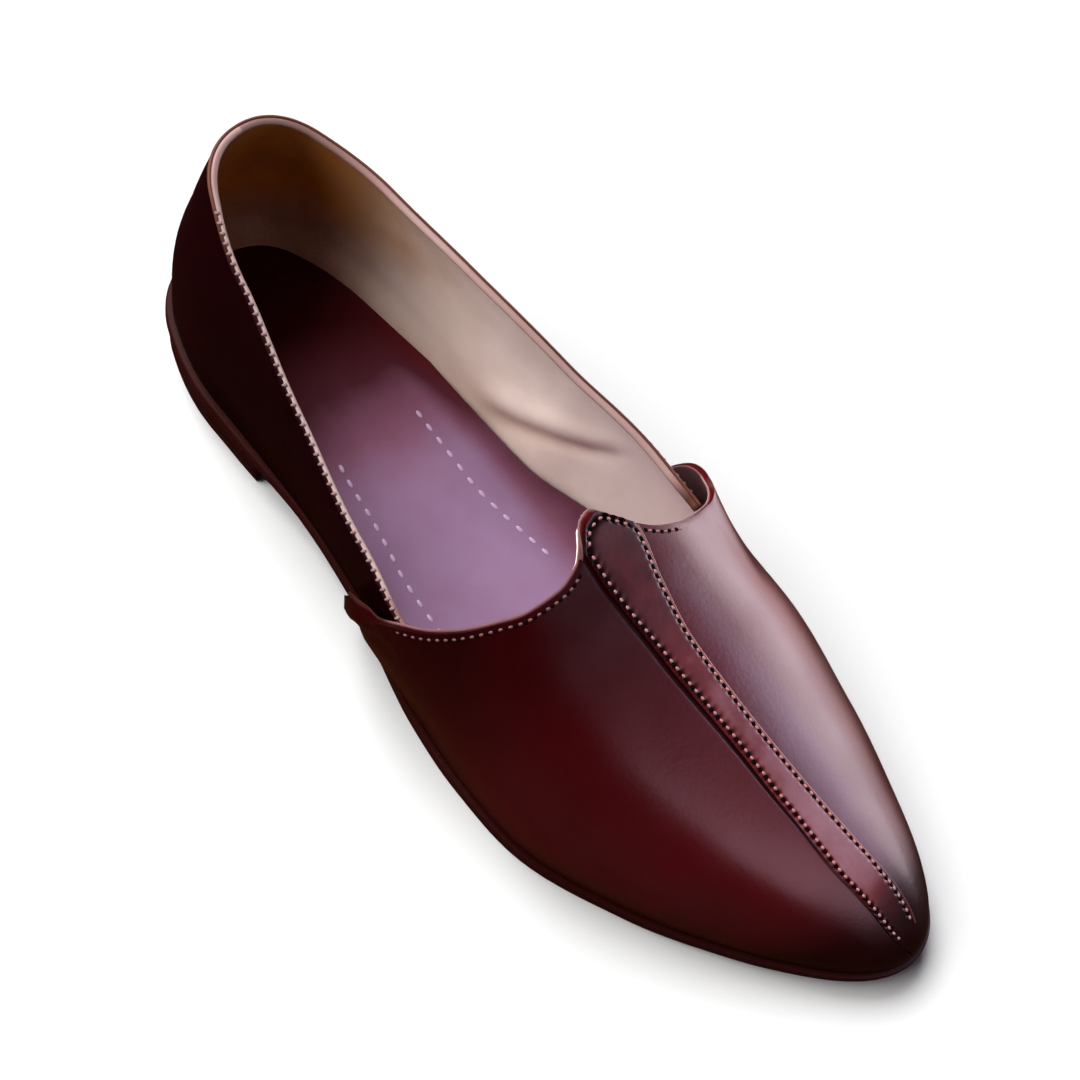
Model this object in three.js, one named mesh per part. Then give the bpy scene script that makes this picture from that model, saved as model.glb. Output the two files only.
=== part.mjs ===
// Khussa: a low leather slip-on shoe for the right foot, standing empty on its sole.
// Millimetres, +X towards the toe, +Y towards the wearer's left, +Z up.
// Every piece comes from one form, the outside of the shoe over its last. A point of the form has a
// station x, counted from the back of the heel, and a girth: 0 at the feather edge of the right (outer)
// side, 0.5 on the ridge and 1 at the feather edge of the left (inner) side.

import * as THREE from 'three';

const LAST_LENGTH = 285;
const SEAT_GAP = 0.3;

const WALL = 1.8;
const VAMP_LEATHER = 1.4;
const STRIP_LEATHER = 1.0;
const SOLE_THICKNESS = 4.2;
const INSOLE_THICKNESS = 2.4;
const INSOLE_INSET = WALL + 0.6;

const HEEL_LENGTH = 63;
const HEEL_BREAST_HOLLOW = 3;
const HEEL_INSET = 1.4;

const HEEL_LEAN = 7;
const HEEL_BULGE = 1.5;
const HEEL_LEAN_HEIGHT = 60;
const HEEL_LEAN_REACH = 95;
const HEEL_SWELL_SPAN = 1.3;

// Sections of the form. half: half width at the feather edge. swing: how far the section's centre lies to
// the inner side. ridge: height of the top line above the floor. ridgeShift: how far the ridge lies from
// the centre. bow: how far the sides swell out at half height. fullness: exponent of the section's
// superellipse, 2 for an ellipse.
const SECTIONS = [
  { x: 0, half: 0, swing: 0, ridge: 102, ridgeShift: 0, bow: 0, fullness: 2.6 },
  { x: 15, half: 23.8, swing: 0, ridge: 102, ridgeShift: 0, bow: 0, fullness: 2.6 },
  { x: 42, half: 30.4, swing: -0.3, ridge: 102, ridgeShift: 0, bow: 0.8, fullness: 2.65 },
  { x: 75, half: 30.8, swing: -1.4, ridge: 104, ridgeShift: 0, bow: 3.2, fullness: 2.8 },
  { x: 110, half: 33.4, swing: -2.4, ridge: 104, ridgeShift: 0, bow: 5, fullness: 3.1 },
  { x: 130, half: 38.6, swing: -1.4, ridge: 92, ridgeShift: -1.2, bow: 4.4, fullness: 3.1 },
  { x: 150, half: 44.4, swing: 0.6, ridge: 76, ridgeShift: -3, bow: 2.8, fullness: 3 },
  { x: 170, half: 49, swing: 2.6, ridge: 66.5, ridgeShift: -4.8, bow: 1.4, fullness: 2.8 },
  { x: 190, half: 51, swing: 4.3, ridge: 58, ridgeShift: -6, bow: 0.8, fullness: 2.6 },
  { x: 225, half: 42.8, swing: 7.2, ridge: 44.5, ridgeShift: -5, bow: 0.5, fullness: 2.4 },
  { x: 250, half: 32, swing: 9.4, ridge: 35, ridgeShift: -3, bow: 0.3, fullness: 2.25 },
  { x: 270, half: 20.4, swing: 11.4, ridge: 26.5, ridgeShift: -1, bow: 0, fullness: 2.15 },
  { x: LAST_LENGTH, half: 0, swing: 12.7, ridge: 11.9, ridgeShift: 0, bow: 0, fullness: 2.1 },
];

// Underside of the outsole above the floor: heel seat, waist, flat tread and toe spring.
const SOLE_LINE = [
  { x: 0, height: 12 },
  { x: 50, height: 11.2 },
  { x: 90, height: 9.2 },
  { x: 128, height: 3.2 },
  { x: 160, height: 0 },
  { x: 208, height: 0 },
  { x: 245, height: 2.4 },
  { x: LAST_LENGTH, height: 7.4 },
];

// How far the outsole stands out from the feather edge.
const SOLE_EDGE = [
  { x: 0, margin: 2 },
  { x: 55, margin: 2 },
  { x: 85, margin: 0.9 },
  { x: 115, margin: 1.4 },
  { x: 150, margin: 3.2 },
  { x: LAST_LENGTH, margin: 3.2 },
];

// Height of the collar's edge on the outer (right) and the inner (left) side, from the back to the ears.
const TOPLINE = [
  { x: 0, right: 84.5, left: 84.5 },
  { x: 40, right: 75, left: 74.5 },
  { x: 80, right: 58.5, left: 71 },
  { x: 115, right: 45.5, left: 63 },
  { x: 133, right: 41.5, left: 59.5 },
  { x: 158, right: 41.5, left: 55 },
];

const EAR_X = { right: 127.5, left: 155.5 };
const REAR_FOOT_X = { right: 113, left: 136 };

// Edge of the throat between the two ears: two scallops with a slanted tab between them.
const THROAT = [
  { girth: 0.14, x: 138.6 },
  { girth: 0.212, x: 146 },
  { girth: 0.301, x: 152.2 },
  { girth: 0.374, x: 156.1 },
  { girth: 0.436, x: 157.1 },
  { girth: 0.475, x: 155.2 },
  { girth: 0.487, x: 152.7 },
  { girth: 0.503, x: 146.9 },
  { girth: 0.517, x: 150.0 },
  { girth: 0.541, x: 155.2 },
  { girth: 0.584, x: 160.0 },
  { girth: 0.653, x: 162.4 },
  { girth: 0.72, x: 161.8 },
];

// The vamp's free ears. lift: how far the rear edge stands off the quarters. reach: how far along the vamp
// the lift dies out.
const EAR_FLARE = [
  { girth: 0, lift: 4.4, reach: 44 },
  { girth: 0.04, lift: 6.4, reach: 44 },
  { girth: 0.075, lift: 5, reach: 42 },
  { girth: 0.11, lift: 2.4, reach: 38 },
  { girth: 0.15, lift: 1, reach: 34 },
  { girth: 0.2, lift: 0.2, reach: 30 },
  { girth: 0.3, lift: 0, reach: 28 },
  { girth: 0.66, lift: 0, reach: 28 },
  { girth: 0.71, lift: 1.4, reach: 28 },
  { girth: 0.765, lift: 4.8, reach: 28 },
  { girth: 0.84, lift: 5.2, reach: 28 },
  { girth: 0.93, lift: 2.2, reach: 28 },
  { girth: 1, lift: 0.4, reach: 28 },
];

// Girth of the two edges of the centre strip, along the vamp.
const STRIP = [
  { x: 146, seam: 0.487, edge: 0.541 },
  { x: 157, seam: 0.488, edge: 0.541 },
  { x: 170, seam: 0.491, edge: 0.529 },
  { x: 185, seam: 0.495, edge: 0.523 },
  { x: 207, seam: 0.496, edge: 0.525 },
  { x: 234, seam: 0.489, edge: 0.533 },
  { x: 255, seam: 0.468, edge: 0.545 },
  { x: 276, seam: 0.435, edge: 0.572 },
];
const STRIP_END = 276;
const STRIP_INSET = 0.4;
const STRIP_SEAT = 0.4;

// Cells of each piece's grid.
const QUARTER_CELLS = { along: 22, up: 6 };
const VAMP_CELLS = { along: 17, around: 30 };
const STRIP_CELLS = { along: 24, across: 4 };
const PLATE_CELLS = { along: 40, across: 6 };
const HEEL_CELLS = { along: 14, across: 6 };

const NORMAL_STEP = 1e-3;
const MERGE_SIZE = 1e-3;

const OXBLOOD = new THREE.MeshStandardMaterial({ color: 0x4a2024, roughness: 0.3 });
const OXBLOOD_STRIP = new THREE.MeshStandardMaterial({ color: 0x5a2e2e, roughness: 0.32 });
const SOLE_LEATHER = new THREE.MeshStandardMaterial({ color: 0x1e1212, roughness: 0.5 });
const INSOLE_LEATHER = new THREE.MeshStandardMaterial({ color: 0x6b4f5e, roughness: 0.45 });

const mix = THREE.MathUtils.lerp;
const clamp = THREE.MathUtils.clamp;

// Evenly spaced stations are packed close at the heel and the toe, where the outline turns round.
const station = (x) => Math.acos(clamp(1 - (2 * x) / LAST_LENGTH, -1, 1)) / Math.PI;
const stationX = (s) => ((1 - Math.cos(Math.PI * s)) / 2) * LAST_LENGTH;

// Slope at the end of a table, from its first two intervals, never against the first one.
function endSlope(step, nextStep, slope, nextSlope) {
  const guess = ((2 * step + nextStep) * slope - step * nextSlope) / (step + nextStep);
  return guess * slope > 0 ? guess : 0;
}

// A smooth function through one column of a table, which never swings past the table's own values.
function smoothColumn(rows, input, output, warp = (value) => value) {
  const at = rows.map((row) => warp(row[input]));
  const value = rows.map((row) => row[output]);
  const last = rows.length - 1;
  const step = at.slice(1).map((end, k) => end - at[k]);
  const slope = step.map((width, k) => (value[k + 1] - value[k]) / width);
  const tangent = value.map((_, k) => {
    if (k === 0) return endSlope(step[0], step[1], slope[0], slope[1]);
    if (k === last) return endSlope(step[k - 1], step[k - 2], slope[k - 1], slope[k - 2]);
    if (slope[k - 1] * slope[k] <= 0) return 0;
    const before = 2 * step[k] + step[k - 1];
    const after = step[k] + 2 * step[k - 1];
    return (before + after) / (before / slope[k - 1] + after / slope[k]);
  });
  return (query) => {
    const u = clamp(warp(query), at[0], at[last]);
    const found = at.findIndex((end) => end > u);
    const k = found < 1 ? (found === 0 ? 0 : last - 1) : found - 1;
    const f = (u - at[k]) / step[k];
    const g = 1 - f;
    return value[k] * g * g * (1 + 2 * f) + value[k + 1] * f * f * (3 - 2 * f)
      + step[k] * f * g * (tangent[k] * g - tangent[k + 1] * f);
  };
}

const half = smoothColumn(SECTIONS, 'x', 'half', station);
const swing = smoothColumn(SECTIONS, 'x', 'swing', station);
const ridge = smoothColumn(SECTIONS, 'x', 'ridge', station);
const ridgeShift = smoothColumn(SECTIONS, 'x', 'ridgeShift', station);
const bow = smoothColumn(SECTIONS, 'x', 'bow', station);
const fullness = smoothColumn(SECTIONS, 'x', 'fullness', station);
const soleLine = smoothColumn(SOLE_LINE, 'x', 'height');
const soleEdge = smoothColumn(SOLE_EDGE, 'x', 'margin');
const topline = {
  right: smoothColumn(TOPLINE, 'x', 'right'),
  left: smoothColumn(TOPLINE, 'x', 'left'),
};
const stripSeam = smoothColumn(STRIP, 'x', 'seam');
const stripEdge = smoothColumn(STRIP, 'x', 'edge');
const earLift = smoothColumn(EAR_FLARE, 'girth', 'lift');
const earReach = smoothColumn(EAR_FLARE, 'girth', 'reach');

// The feather edge, where upper and sole meet.
const feather = (x) => soleLine(x) + SOLE_THICKNESS + SEAT_GAP;

// The back of the heel swells out over the sole and leans forward to the collar.
function heelLean(x, z) {
  const rise = clamp((z - feather(x)) / HEEL_LEAN_HEIGHT, 0, 2);
  const fade = Math.max(1 - x / HEEL_LEAN_REACH, 0) ** 2;
  const swell = Math.sin(Math.PI * Math.min(HEEL_SWELL_SPAN * rise, 1));
  return fade * (HEEL_LEAN * rise * rise - HEEL_BULGE * swell);
}

function formPoint(x, girth) {
  const angle = Math.PI * girth;
  const power = 2 / fullness(x);
  const across = Math.sign(Math.cos(angle)) * Math.abs(Math.cos(angle)) ** power;
  const rise = Math.abs(Math.sin(angle)) ** power;
  const z = mix(feather(x), ridge(x), rise);
  const reach = half(x) + 4 * bow(x) * rise * (1 - rise);
  const y = swing(x) + ridgeShift(x) * rise - reach * across;
  return new THREE.Vector3(x + heelLean(x, z), y, z);
}

// Outward direction of the form, nowhere below the horizontal, so that no layer dips into the sole.
function formNormal(x, girth) {
  const s = clamp(station(x), 2 * NORMAL_STEP, 1 - 2 * NORMAL_STEP);
  const g = clamp(girth, 2 * NORMAL_STEP, 1 - 2 * NORMAL_STEP);
  const ahead = formPoint(stationX(s + NORMAL_STEP), g);
  const behind = formPoint(stationX(s - NORMAL_STEP), g);
  const over = formPoint(stationX(s), g + NORMAL_STEP);
  const under = formPoint(stationX(s), g - NORMAL_STEP);
  const normal = ahead.sub(behind).cross(over.sub(under));
  if (x <= 0) normal.y = 0;
  if (x >= LAST_LENGTH) normal.set(1, 0, 0);
  normal.z = Math.max(normal.z, 0);
  return normal.normalize();
}

// Girth at a height above the floor, on the right side of a section.
function girthAtHeight(x, height) {
  const share = clamp((height - feather(x)) / (ridge(x) - feather(x)), 0, 1);
  return Math.asin(share ** (fullness(x) / 2)) / Math.PI;
}

const collarGirth = (x, side) => girthAtHeight(x, topline[side](x));
const earGirth = {
  right: collarGirth(EAR_X.right, 'right'),
  left: 1 - collarGirth(EAR_X.left, 'left'),
};

const throatRows = [
  { girth: earGirth.right, x: EAR_X.right },
  ...THROAT,
  { girth: earGirth.left, x: EAR_X.left },
];
const throatX = smoothColumn(throatRows, 'girth', 'x');

// Rear edge of the vamp at any girth: down each side from the ears, and along the throat between them.
function vampRear(girth) {
  if (girth < earGirth.right) return mix(REAR_FOOT_X.right, EAR_X.right, girth / earGirth.right);
  if (girth > earGirth.left) {
    return mix(REAR_FOOT_X.left, EAR_X.left, (1 - girth) / (1 - earGirth.left));
  }
  return throatX(girth);
}

function vampFlare(x, girth) {
  const fade = clamp(1 - (x - vampRear(girth)) / earReach(girth), 0, 1);
  return earLift(girth) * fade * fade;
}

// A grid of points, made by place(u, v) with u and v from 0 to 1.
function gridPatch(columns, rows, place) {
  const points = [];
  const cells = [];
  columns.forEach((u) => rows.forEach((v) => points.push(place(u, v))));
  for (let i = 0; i + 1 < columns.length; i += 1) {
    for (let j = 0; j + 1 < rows.length; j += 1) {
      const corner = i * rows.length + j;
      cells.push([corner, corner + rows.length, corner + rows.length + 1, corner + 1]);
    }
  }
  return { points, cells };
}

const evenSteps = (count) => Array.from({ length: count + 1 }, (_, k) => k / count);

// Closed solid between two faces over the same patches. A patch's point gives its place on the front
// face and on the back face; points that coincide are one, and open edges get a wall.
function solidBetween(patches) {
  const front = [];
  const back = [];
  const known = new Map();
  const triangles = [];
  const keyOf = (point) => point.toArray().map((value) => Math.round(value / MERGE_SIZE) + 0).join();
  const addTriangle = (a, b, c) => {
    if (a !== b && b !== c && c !== a) triangles.push([a, b, c]);
  };
  patches.forEach(({ points, cells }) => {
    const index = points.map((point) => {
      const key = keyOf(point.front);
      if (!known.has(key)) {
        known.set(key, front.length);
        front.push(point.front);
        back.push(point.back);
      }
      return known.get(key);
    });
    cells.forEach(([a, b, c, d]) => {
      addTriangle(index[a], index[b], index[c]);
      addTriangle(index[a], index[c], index[d]);
    });
  });
  const edges = new Map();
  triangles.forEach(([a, b, c]) => {
    [[a, b], [b, c], [c, a]].forEach(([from, to]) => edges.set(`${from},${to}`, [from, to]));
  });
  const shift = front.length;
  const faces = triangles.flatMap(([a, b, c]) => [a, b, c, a + shift, c + shift, b + shift]);
  edges.forEach(([from, to]) => {
    if (edges.has(`${to},${from}`)) return;
    faces.push(from, from + shift, to + shift, from, to + shift, to);
  });
  const geometry = new THREE.BufferGeometry().setFromPoints([...front, ...back]);
  geometry.setIndex(faces);
  geometry.computeVertexNormals();
  return geometry;
}

// A point of a layer over the form, with its outer and inner face at two heights above it.
function layerPoint(x, girth, outer, inner) {
  const base = formPoint(x, girth);
  const normal = formNormal(x, girth);
  return {
    front: base.clone().addScaledVector(normal, outer),
    back: base.clone().addScaledVector(normal, inner),
  };
}

// Girths of the vamp's grid: the side rows fall on the quarters' rows, the rest follow the throat.
function vampGirths() {
  const sides = evenSteps(QUARTER_CELLS.up);
  const right = sides.map((v) => v * earGirth.right);
  const left = sides.map((v) => 1 - v * (1 - earGirth.left)).reverse();
  const middle = evenSteps(VAMP_CELLS.around).slice(1, -1).map((v) => mix(earGirth.right, earGirth.left, v));
  return [...right, ...middle, ...left];
}

function vampPatch(outer, inner, flareAt) {
  return gridPatch(evenSteps(VAMP_CELLS.along), vampGirths(), (u, girth) => {
    const x = u < 1 ? stationX(mix(station(vampRear(girth)), 1, u)) : LAST_LENGTH;
    const flare = flareAt(x, girth);
    return layerPoint(x, girth, outer + flare, inner + flare);
  });
}

// One quarter, from the back of the heel to the line where the vamp takes over.
function quarterPatch(side, outer, inner) {
  const columns = evenSteps(QUARTER_CELLS.along);
  const rows = evenSteps(QUARTER_CELLS.up);
  const end = side === 'right' ? earGirth.right : 1 - earGirth.left;
  const place = (u, v) => {
    const along = 1 - Math.cos((u * Math.PI) / 2);
    const front = mix(REAR_FOOT_X[side], EAR_X[side], v);
    const girth = u < 1 ? v * collarGirth(along * EAR_X[side], side) : v * end;
    return layerPoint(along * front, side === 'right' ? girth : 1 - girth, outer, inner);
  };
  if (side === 'right') return gridPatch(columns, rows, place);
  return gridPatch(columns, rows.slice().reverse(), place);
}

function upperGeometry() {
  return solidBetween([
    quarterPatch('right', 0, -WALL),
    quarterPatch('left', 0, -WALL),
    vampPatch(0, -WALL, () => 0),
  ]);
}

function vampGeometry() {
  return solidBetween([vampPatch(SEAT_GAP + VAMP_LEATHER, SEAT_GAP, vampFlare)]);
}

function stripGeometry() {
  const inner = SEAT_GAP + VAMP_LEATHER + STRIP_SEAT;
  const rearGirth = [stripSeam(STRIP[0].x), stripEdge(STRIP[0].x)];
  const patch = gridPatch(evenSteps(STRIP_CELLS.along), evenSteps(STRIP_CELLS.across), (u, v) => {
    const rear = throatX(mix(...rearGirth, v)) + STRIP_INSET;
    const x = mix(rear, STRIP_END, u);
    const girth = mix(stripSeam(x), stripEdge(x), v);
    return layerPoint(x, girth, inner + STRIP_LEATHER, inner);
  });
  return solidBetween([patch]);
}

// Outline of the sole: the feather edge moved outwards in plan.
function outlinePoint(s, side, margin) {
  const at = clamp(s, NORMAL_STEP, 1 - NORMAL_STEP);
  const plan = (value) => {
    const x = stationX(value);
    return new THREE.Vector2(x, swing(x) + side * half(x));
  };
  const tangent = plan(at + NORMAL_STEP).sub(plan(at - NORMAL_STEP)).normalize();
  const outward = new THREE.Vector2(-tangent.y, tangent.x).multiplyScalar(side);
  if (s <= 0) outward.set(-1, 0);
  if (s >= 1) outward.set(1, 0);
  return plan(s).addScaledVector(outward, margin);
}

// A plate inside the sole's outline. marginAt and the two heights are functions of the station x.
function plateGeometry({ cells, end, marginAt, topAt, bottomAt, breastHollow = 0 }) {
  const patch = gridPatch(evenSteps(cells.along), evenSteps(cells.across), (u, v) => {
    const s = u * end;
    const margin = marginAt(stationX(s));
    const right = outlinePoint(s, -1, margin);
    const left = outlinePoint(s, 1, margin);
    const spot = right.lerp(left, v);
    const hollow = breastHollow * u * (1 - (2 * v - 1) ** 2);
    const x = spot.x - hollow;
    return {
      front: new THREE.Vector3(x, spot.y, topAt(x)),
      back: new THREE.Vector3(x, spot.y, bottomAt(x)),
    };
  });
  return solidBetween([patch]);
}

const pieces = {
  outsole: [plateGeometry({
    cells: PLATE_CELLS,
    end: 1,
    marginAt: soleEdge,
    topAt: (x) => soleLine(x) + SOLE_THICKNESS,
    bottomAt: soleLine,
  }), SOLE_LEATHER],
  heel: [plateGeometry({
    cells: HEEL_CELLS,
    end: station(HEEL_LENGTH),
    marginAt: (x) => soleEdge(x) - HEEL_INSET,
    topAt: (x) => soleLine(x) - SEAT_GAP,
    bottomAt: () => 0,
    breastHollow: HEEL_BREAST_HOLLOW,
  }), SOLE_LEATHER],
  insole: [plateGeometry({
    cells: PLATE_CELLS,
    end: 1,
    marginAt: () => -INSOLE_INSET,
    topAt: (x) => feather(x) + INSOLE_THICKNESS,
    bottomAt: feather,
  }), INSOLE_LEATHER],
  upper: [upperGeometry(), OXBLOOD],
  vamp: [vampGeometry(), OXBLOOD],
  vamp_strip: [stripGeometry(), OXBLOOD_STRIP],
};

const khussa = new THREE.Group();
Object.entries(pieces).forEach(([name, [geometry, material]]) => {
  const mesh = new THREE.Mesh(geometry, material);
  mesh.name = name;
  khussa.add(mesh);
});

// The origin is on the floor, under the middle of the shoe.
const middle = new THREE.Box3().setFromObject(khussa).getCenter(new THREE.Vector3());
khussa.position.set(-middle.x, -middle.y, 0);

export default khussa;
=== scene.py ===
# %% [markdown]
# # A khussa, a low slip-on shoe of glossy oxblood leather
# The shoe is a wall of leather drawn over a last, with a second layer over the forefoot, the vamp, that
# ends in two scallops and a small tab. A raised strip runs from the tab to the toe between two rows of
# stitches. The CAD model gives the place and the form of every piece. This lesson gives each piece a finer
# surface from the same tables of sizes, and then its edges, stitches, creases and finish.

# %% Frame
import math

import bmesh
import bpy
import numpy as np
from mathutils import Matrix
from mathutils import Vector


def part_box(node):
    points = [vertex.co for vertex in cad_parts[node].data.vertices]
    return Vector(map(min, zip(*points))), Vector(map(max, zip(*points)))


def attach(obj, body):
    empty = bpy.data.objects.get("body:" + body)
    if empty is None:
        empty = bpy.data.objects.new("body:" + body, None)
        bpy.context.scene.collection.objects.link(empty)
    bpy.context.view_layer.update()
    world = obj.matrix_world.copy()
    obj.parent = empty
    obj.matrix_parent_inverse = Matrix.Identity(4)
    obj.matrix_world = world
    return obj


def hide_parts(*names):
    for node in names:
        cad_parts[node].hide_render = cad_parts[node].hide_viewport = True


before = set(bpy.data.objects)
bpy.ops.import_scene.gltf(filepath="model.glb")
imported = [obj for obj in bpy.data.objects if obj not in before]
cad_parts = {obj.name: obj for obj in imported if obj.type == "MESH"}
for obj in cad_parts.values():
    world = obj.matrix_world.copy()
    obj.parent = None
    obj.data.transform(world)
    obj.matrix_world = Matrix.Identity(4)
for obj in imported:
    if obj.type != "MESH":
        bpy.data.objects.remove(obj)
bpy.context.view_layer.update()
print("CAD nodes:", sorted(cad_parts))

# %% [markdown]
# ## The form of the last
# A shoemaker describes a last by sections: how wide it is, how high its ridge stands, how far it swings to
# the inner side. Each column here is one such size in millimetres, and a row is one section, counted from
# the back of the heel. A mesh could be drawn by hand, but a table keeps every layer of the shoe on the same
# form.

# %% Tables of sizes, in millimetres from the back of the heel
LAST_LENGTH = 285.0
SOLE_THICKNESS = 4.2
SEAT_GAP = 0.3
VAMP_TOP = 1.7
SECTIONS = {
    "x": [0, 15, 42, 75, 110, 130, 150, 170, 190, 225, 250, 270, LAST_LENGTH],
    "half": [0, 23.8, 30.4, 30.8, 33.4, 38.6, 44.4, 49, 51, 42.8, 32, 20.4, 0],
    "swing": [0, 0, -0.3, -1.4, -2.4, -1.4, 0.6, 2.6, 4.3, 7.2, 9.4, 11.4, 12.7],
    "ridge": [102, 102, 102, 104, 104, 92, 76, 66.5, 58, 44.5, 35, 26.5, 11.9],
    "ridge_shift": [0, 0, 0, 0, 0, -1.2, -3, -4.8, -6, -5, -3, -1, 0],
    "bow": [0, 0, 0.8, 3.2, 5, 4.4, 2.8, 1.4, 0.8, 0.5, 0.3, 0, 0],
    "fullness": [2.6, 2.6, 2.65, 2.8, 3.1, 3.1, 3, 2.8, 2.6, 2.4, 2.25, 2.15, 2.1],
}
SOLE_LINE = {
    "x": [0, 50, 90, 128, 160, 208, 245, LAST_LENGTH],
    "height": [12, 11.2, 9.2, 3.2, 0, 0, 2.4, 7.4],
}
SOLE_EDGE = {
    "x": [0, 55, 85, 115, 150, LAST_LENGTH],
    "margin": [2, 2, 0.9, 1.4, 3.2, 3.2],
}
TOPLINE = {
    "x": [0, 40, 80, 115, 133, 158],
    "right": [84.5, 75, 58.5, 45.5, 41.5, 41.5],
    "left": [84.5, 74.5, 71, 63, 59.5, 55],
}
STRIP = {
    "x": [146, 157, 170, 185, 207, 234, 255, 276],
    "seam": [0.487, 0.488, 0.491, 0.495, 0.496, 0.489, 0.468, 0.435],
    "edge": [0.541, 0.541, 0.529, 0.523, 0.525, 0.533, 0.545, 0.572],
}
EAR_FLARE = {
    "girth": [0, 0.04, 0.075, 0.11, 0.15, 0.2, 0.3, 0.66, 0.71, 0.765, 0.84, 0.93, 1],
    "lift": [4.4, 6.4, 5, 2.4, 1, 0.2, 0, 0, 1.4, 4.8, 5.2, 2.2, 0.4],
    "reach": [44, 44, 42, 38, 34, 30, 28, 28, 28, 28, 28, 28, 28],
}
EAR_X = {"right": 127.5, "left": 155.5}
REAR_FOOT_X = {"right": 113, "left": 136}
print(len(SECTIONS["x"]), "sections over", LAST_LENGTH, "mm")

# %% A smooth curve through a column
def station(x):
    """Share of the length, 0 to 1. Even steps of it crowd at the round ends: acos(1 - 2x/L) / pi."""
    return np.arccos(np.clip(1 - 2 * np.asarray(x, float) / LAST_LENGTH, -1, 1)) / np.pi


def station_x(share):
    """The station's distance in mm, the inverse of station()."""
    return (1 - np.cos(np.pi * np.asarray(share, float))) / 2 * LAST_LENGTH


def end_slope(step, next_step, slope, next_slope):
    """Slope at a table's end: a parabola through three rows, but never against the first slope."""
    guess = ((2 * step + next_step) * slope - step * next_slope) / (step + next_step)
    return guess if guess * slope > 0 else 0.0


def smooth_column(table, column, along="x", warp=np.asarray):
    """Cubic pieces through a column. The slope at a row is the weighted harmonic mean of the slopes beside
    it, and zero where the column turns, so the curve never swings past the table's own values."""
    at = np.asarray(warp(np.asarray(table[along], float)))
    value = np.asarray(table[column], float)
    step = np.diff(at)
    slope = np.diff(value) / step
    before = 2 * step[1:] + step[:-1]
    after = step[1:] + 2 * step[:-1]
    steady = slope[:-1] * slope[1:] > 0
    low = np.where(steady, slope[:-1], 1)
    high = np.where(steady, slope[1:], 1)
    inner = np.where(steady, (before + after) / (before / low + after / high), 0)
    first = end_slope(step[0], step[1], slope[0], slope[1])
    last = end_slope(step[-1], step[-2], slope[-1], slope[-2])
    tangent = np.concatenate([[first], inner, [last]])

    def curve(query):
        """The cubic piece that holds each queried place, from its two end values and end slopes."""
        u = np.clip(warp(np.asarray(query, float)), at[0], at[-1])
        k = np.clip(np.searchsorted(at, u, side="right") - 1, 0, len(step) - 1)
        f = (u - at[k]) / step[k]
        g = 1 - f
        ends = value[k] * g * g * (1 + 2 * f) + value[k + 1] * f * f * (3 - 2 * f)
        return ends + step[k] * f * g * (tangent[k] * g - tangent[k + 1] * f)

    return curve


half = smooth_column(SECTIONS, "half", warp=station)
swing = smooth_column(SECTIONS, "swing", warp=station)
ridge = smooth_column(SECTIONS, "ridge", warp=station)
ridge_shift = smooth_column(SECTIONS, "ridge_shift", warp=station)
bow = smooth_column(SECTIONS, "bow", warp=station)
fullness = smooth_column(SECTIONS, "fullness", warp=station)
sole_line = smooth_column(SOLE_LINE, "height")
sole_edge = smooth_column(SOLE_EDGE, "margin")
topline = {side: smooth_column(TOPLINE, side) for side in ("right", "left")}
strip_seam = smooth_column(STRIP, "seam")
strip_edge = smooth_column(STRIP, "edge")
ear_lift = smooth_column(EAR_FLARE, "lift", along="girth")
ear_reach = smooth_column(EAR_FLARE, "reach", along="girth")
print("ball width", round(float(2 * half(190)), 1), "mm")

# %% [markdown]
# A point of the form has a station x and a girth: 0 at the bottom of the outer side, 0.5 on the ridge and 1
# at the bottom of the inner side. A section is a superellipse, fuller than an ellipse, whose sides bow out.
# The layers of the shoe are this form moved along its own normal, so they lie on each other without any
# fitting.

# %% Form, normal and layers
HEEL_LEAN = 7
HEEL_BULGE = 1.5
HEEL_LEAN_HEIGHT = 60
HEEL_LEAN_REACH = 95
HEEL_SWELL_SPAN = 1.3
HEEL_RISE_LIMIT = 2
NORMAL_STEP = 1e-3


def mix(a, b, share):
    """A share of the way from a to b."""
    return a + (b - a) * share


def smooth_step(start, end, value):
    """0 before start, 1 after end, and 3t^2 - 2t^3 between them."""
    t = np.clip((value - start) / (end - start), 0, 1)
    return t * t * (3 - 2 * t)


def bell(offset, width):
    """1 in the middle and 1/e a width away from it: exp(-(offset / width)^2)."""
    return np.exp(-((offset / width) ** 2))


def feather(x):
    """Height of the line where the upper meets the sole."""
    return sole_line(x) + SOLE_THICKNESS + SEAT_GAP


def heel_lean(x, z):
    """Shift of the back along x at a height: a swell low down, then a lean that grows with the square."""
    rise = np.clip((z - feather(x)) / HEEL_LEAN_HEIGHT, 0, HEEL_RISE_LIMIT)
    fade = np.clip(1 - x / HEEL_LEAN_REACH, 0, 1) ** 2
    swell = np.sin(np.pi * np.minimum(HEEL_SWELL_SPAN * rise, 1))
    return fade * (HEEL_LEAN * rise**2 - HEEL_BULGE * swell)


def form(x, girth):
    """Superellipse section: across is cos(pi g) and rise is sin(pi g), both to the power 2 / fullness."""
    x, girth = np.broadcast_arrays(np.asarray(x, float), np.asarray(girth, float))
    power = 2 / fullness(x)
    cosine = np.cos(np.pi * girth)
    across = np.sign(cosine) * np.abs(cosine) ** power
    rise = np.abs(np.sin(np.pi * girth)) ** power
    z = mix(feather(x), ridge(x), rise)
    reach = half(x) + 4 * bow(x) * rise * (1 - rise)
    y = swing(x) + ridge_shift(x) * rise - reach * across
    return np.stack([x + heel_lean(x, z), y, z], axis=-1)


def unit(vectors):
    """Each vector divided by its own length."""
    return vectors / np.linalg.norm(vectors, axis=-1, keepdims=True)


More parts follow.
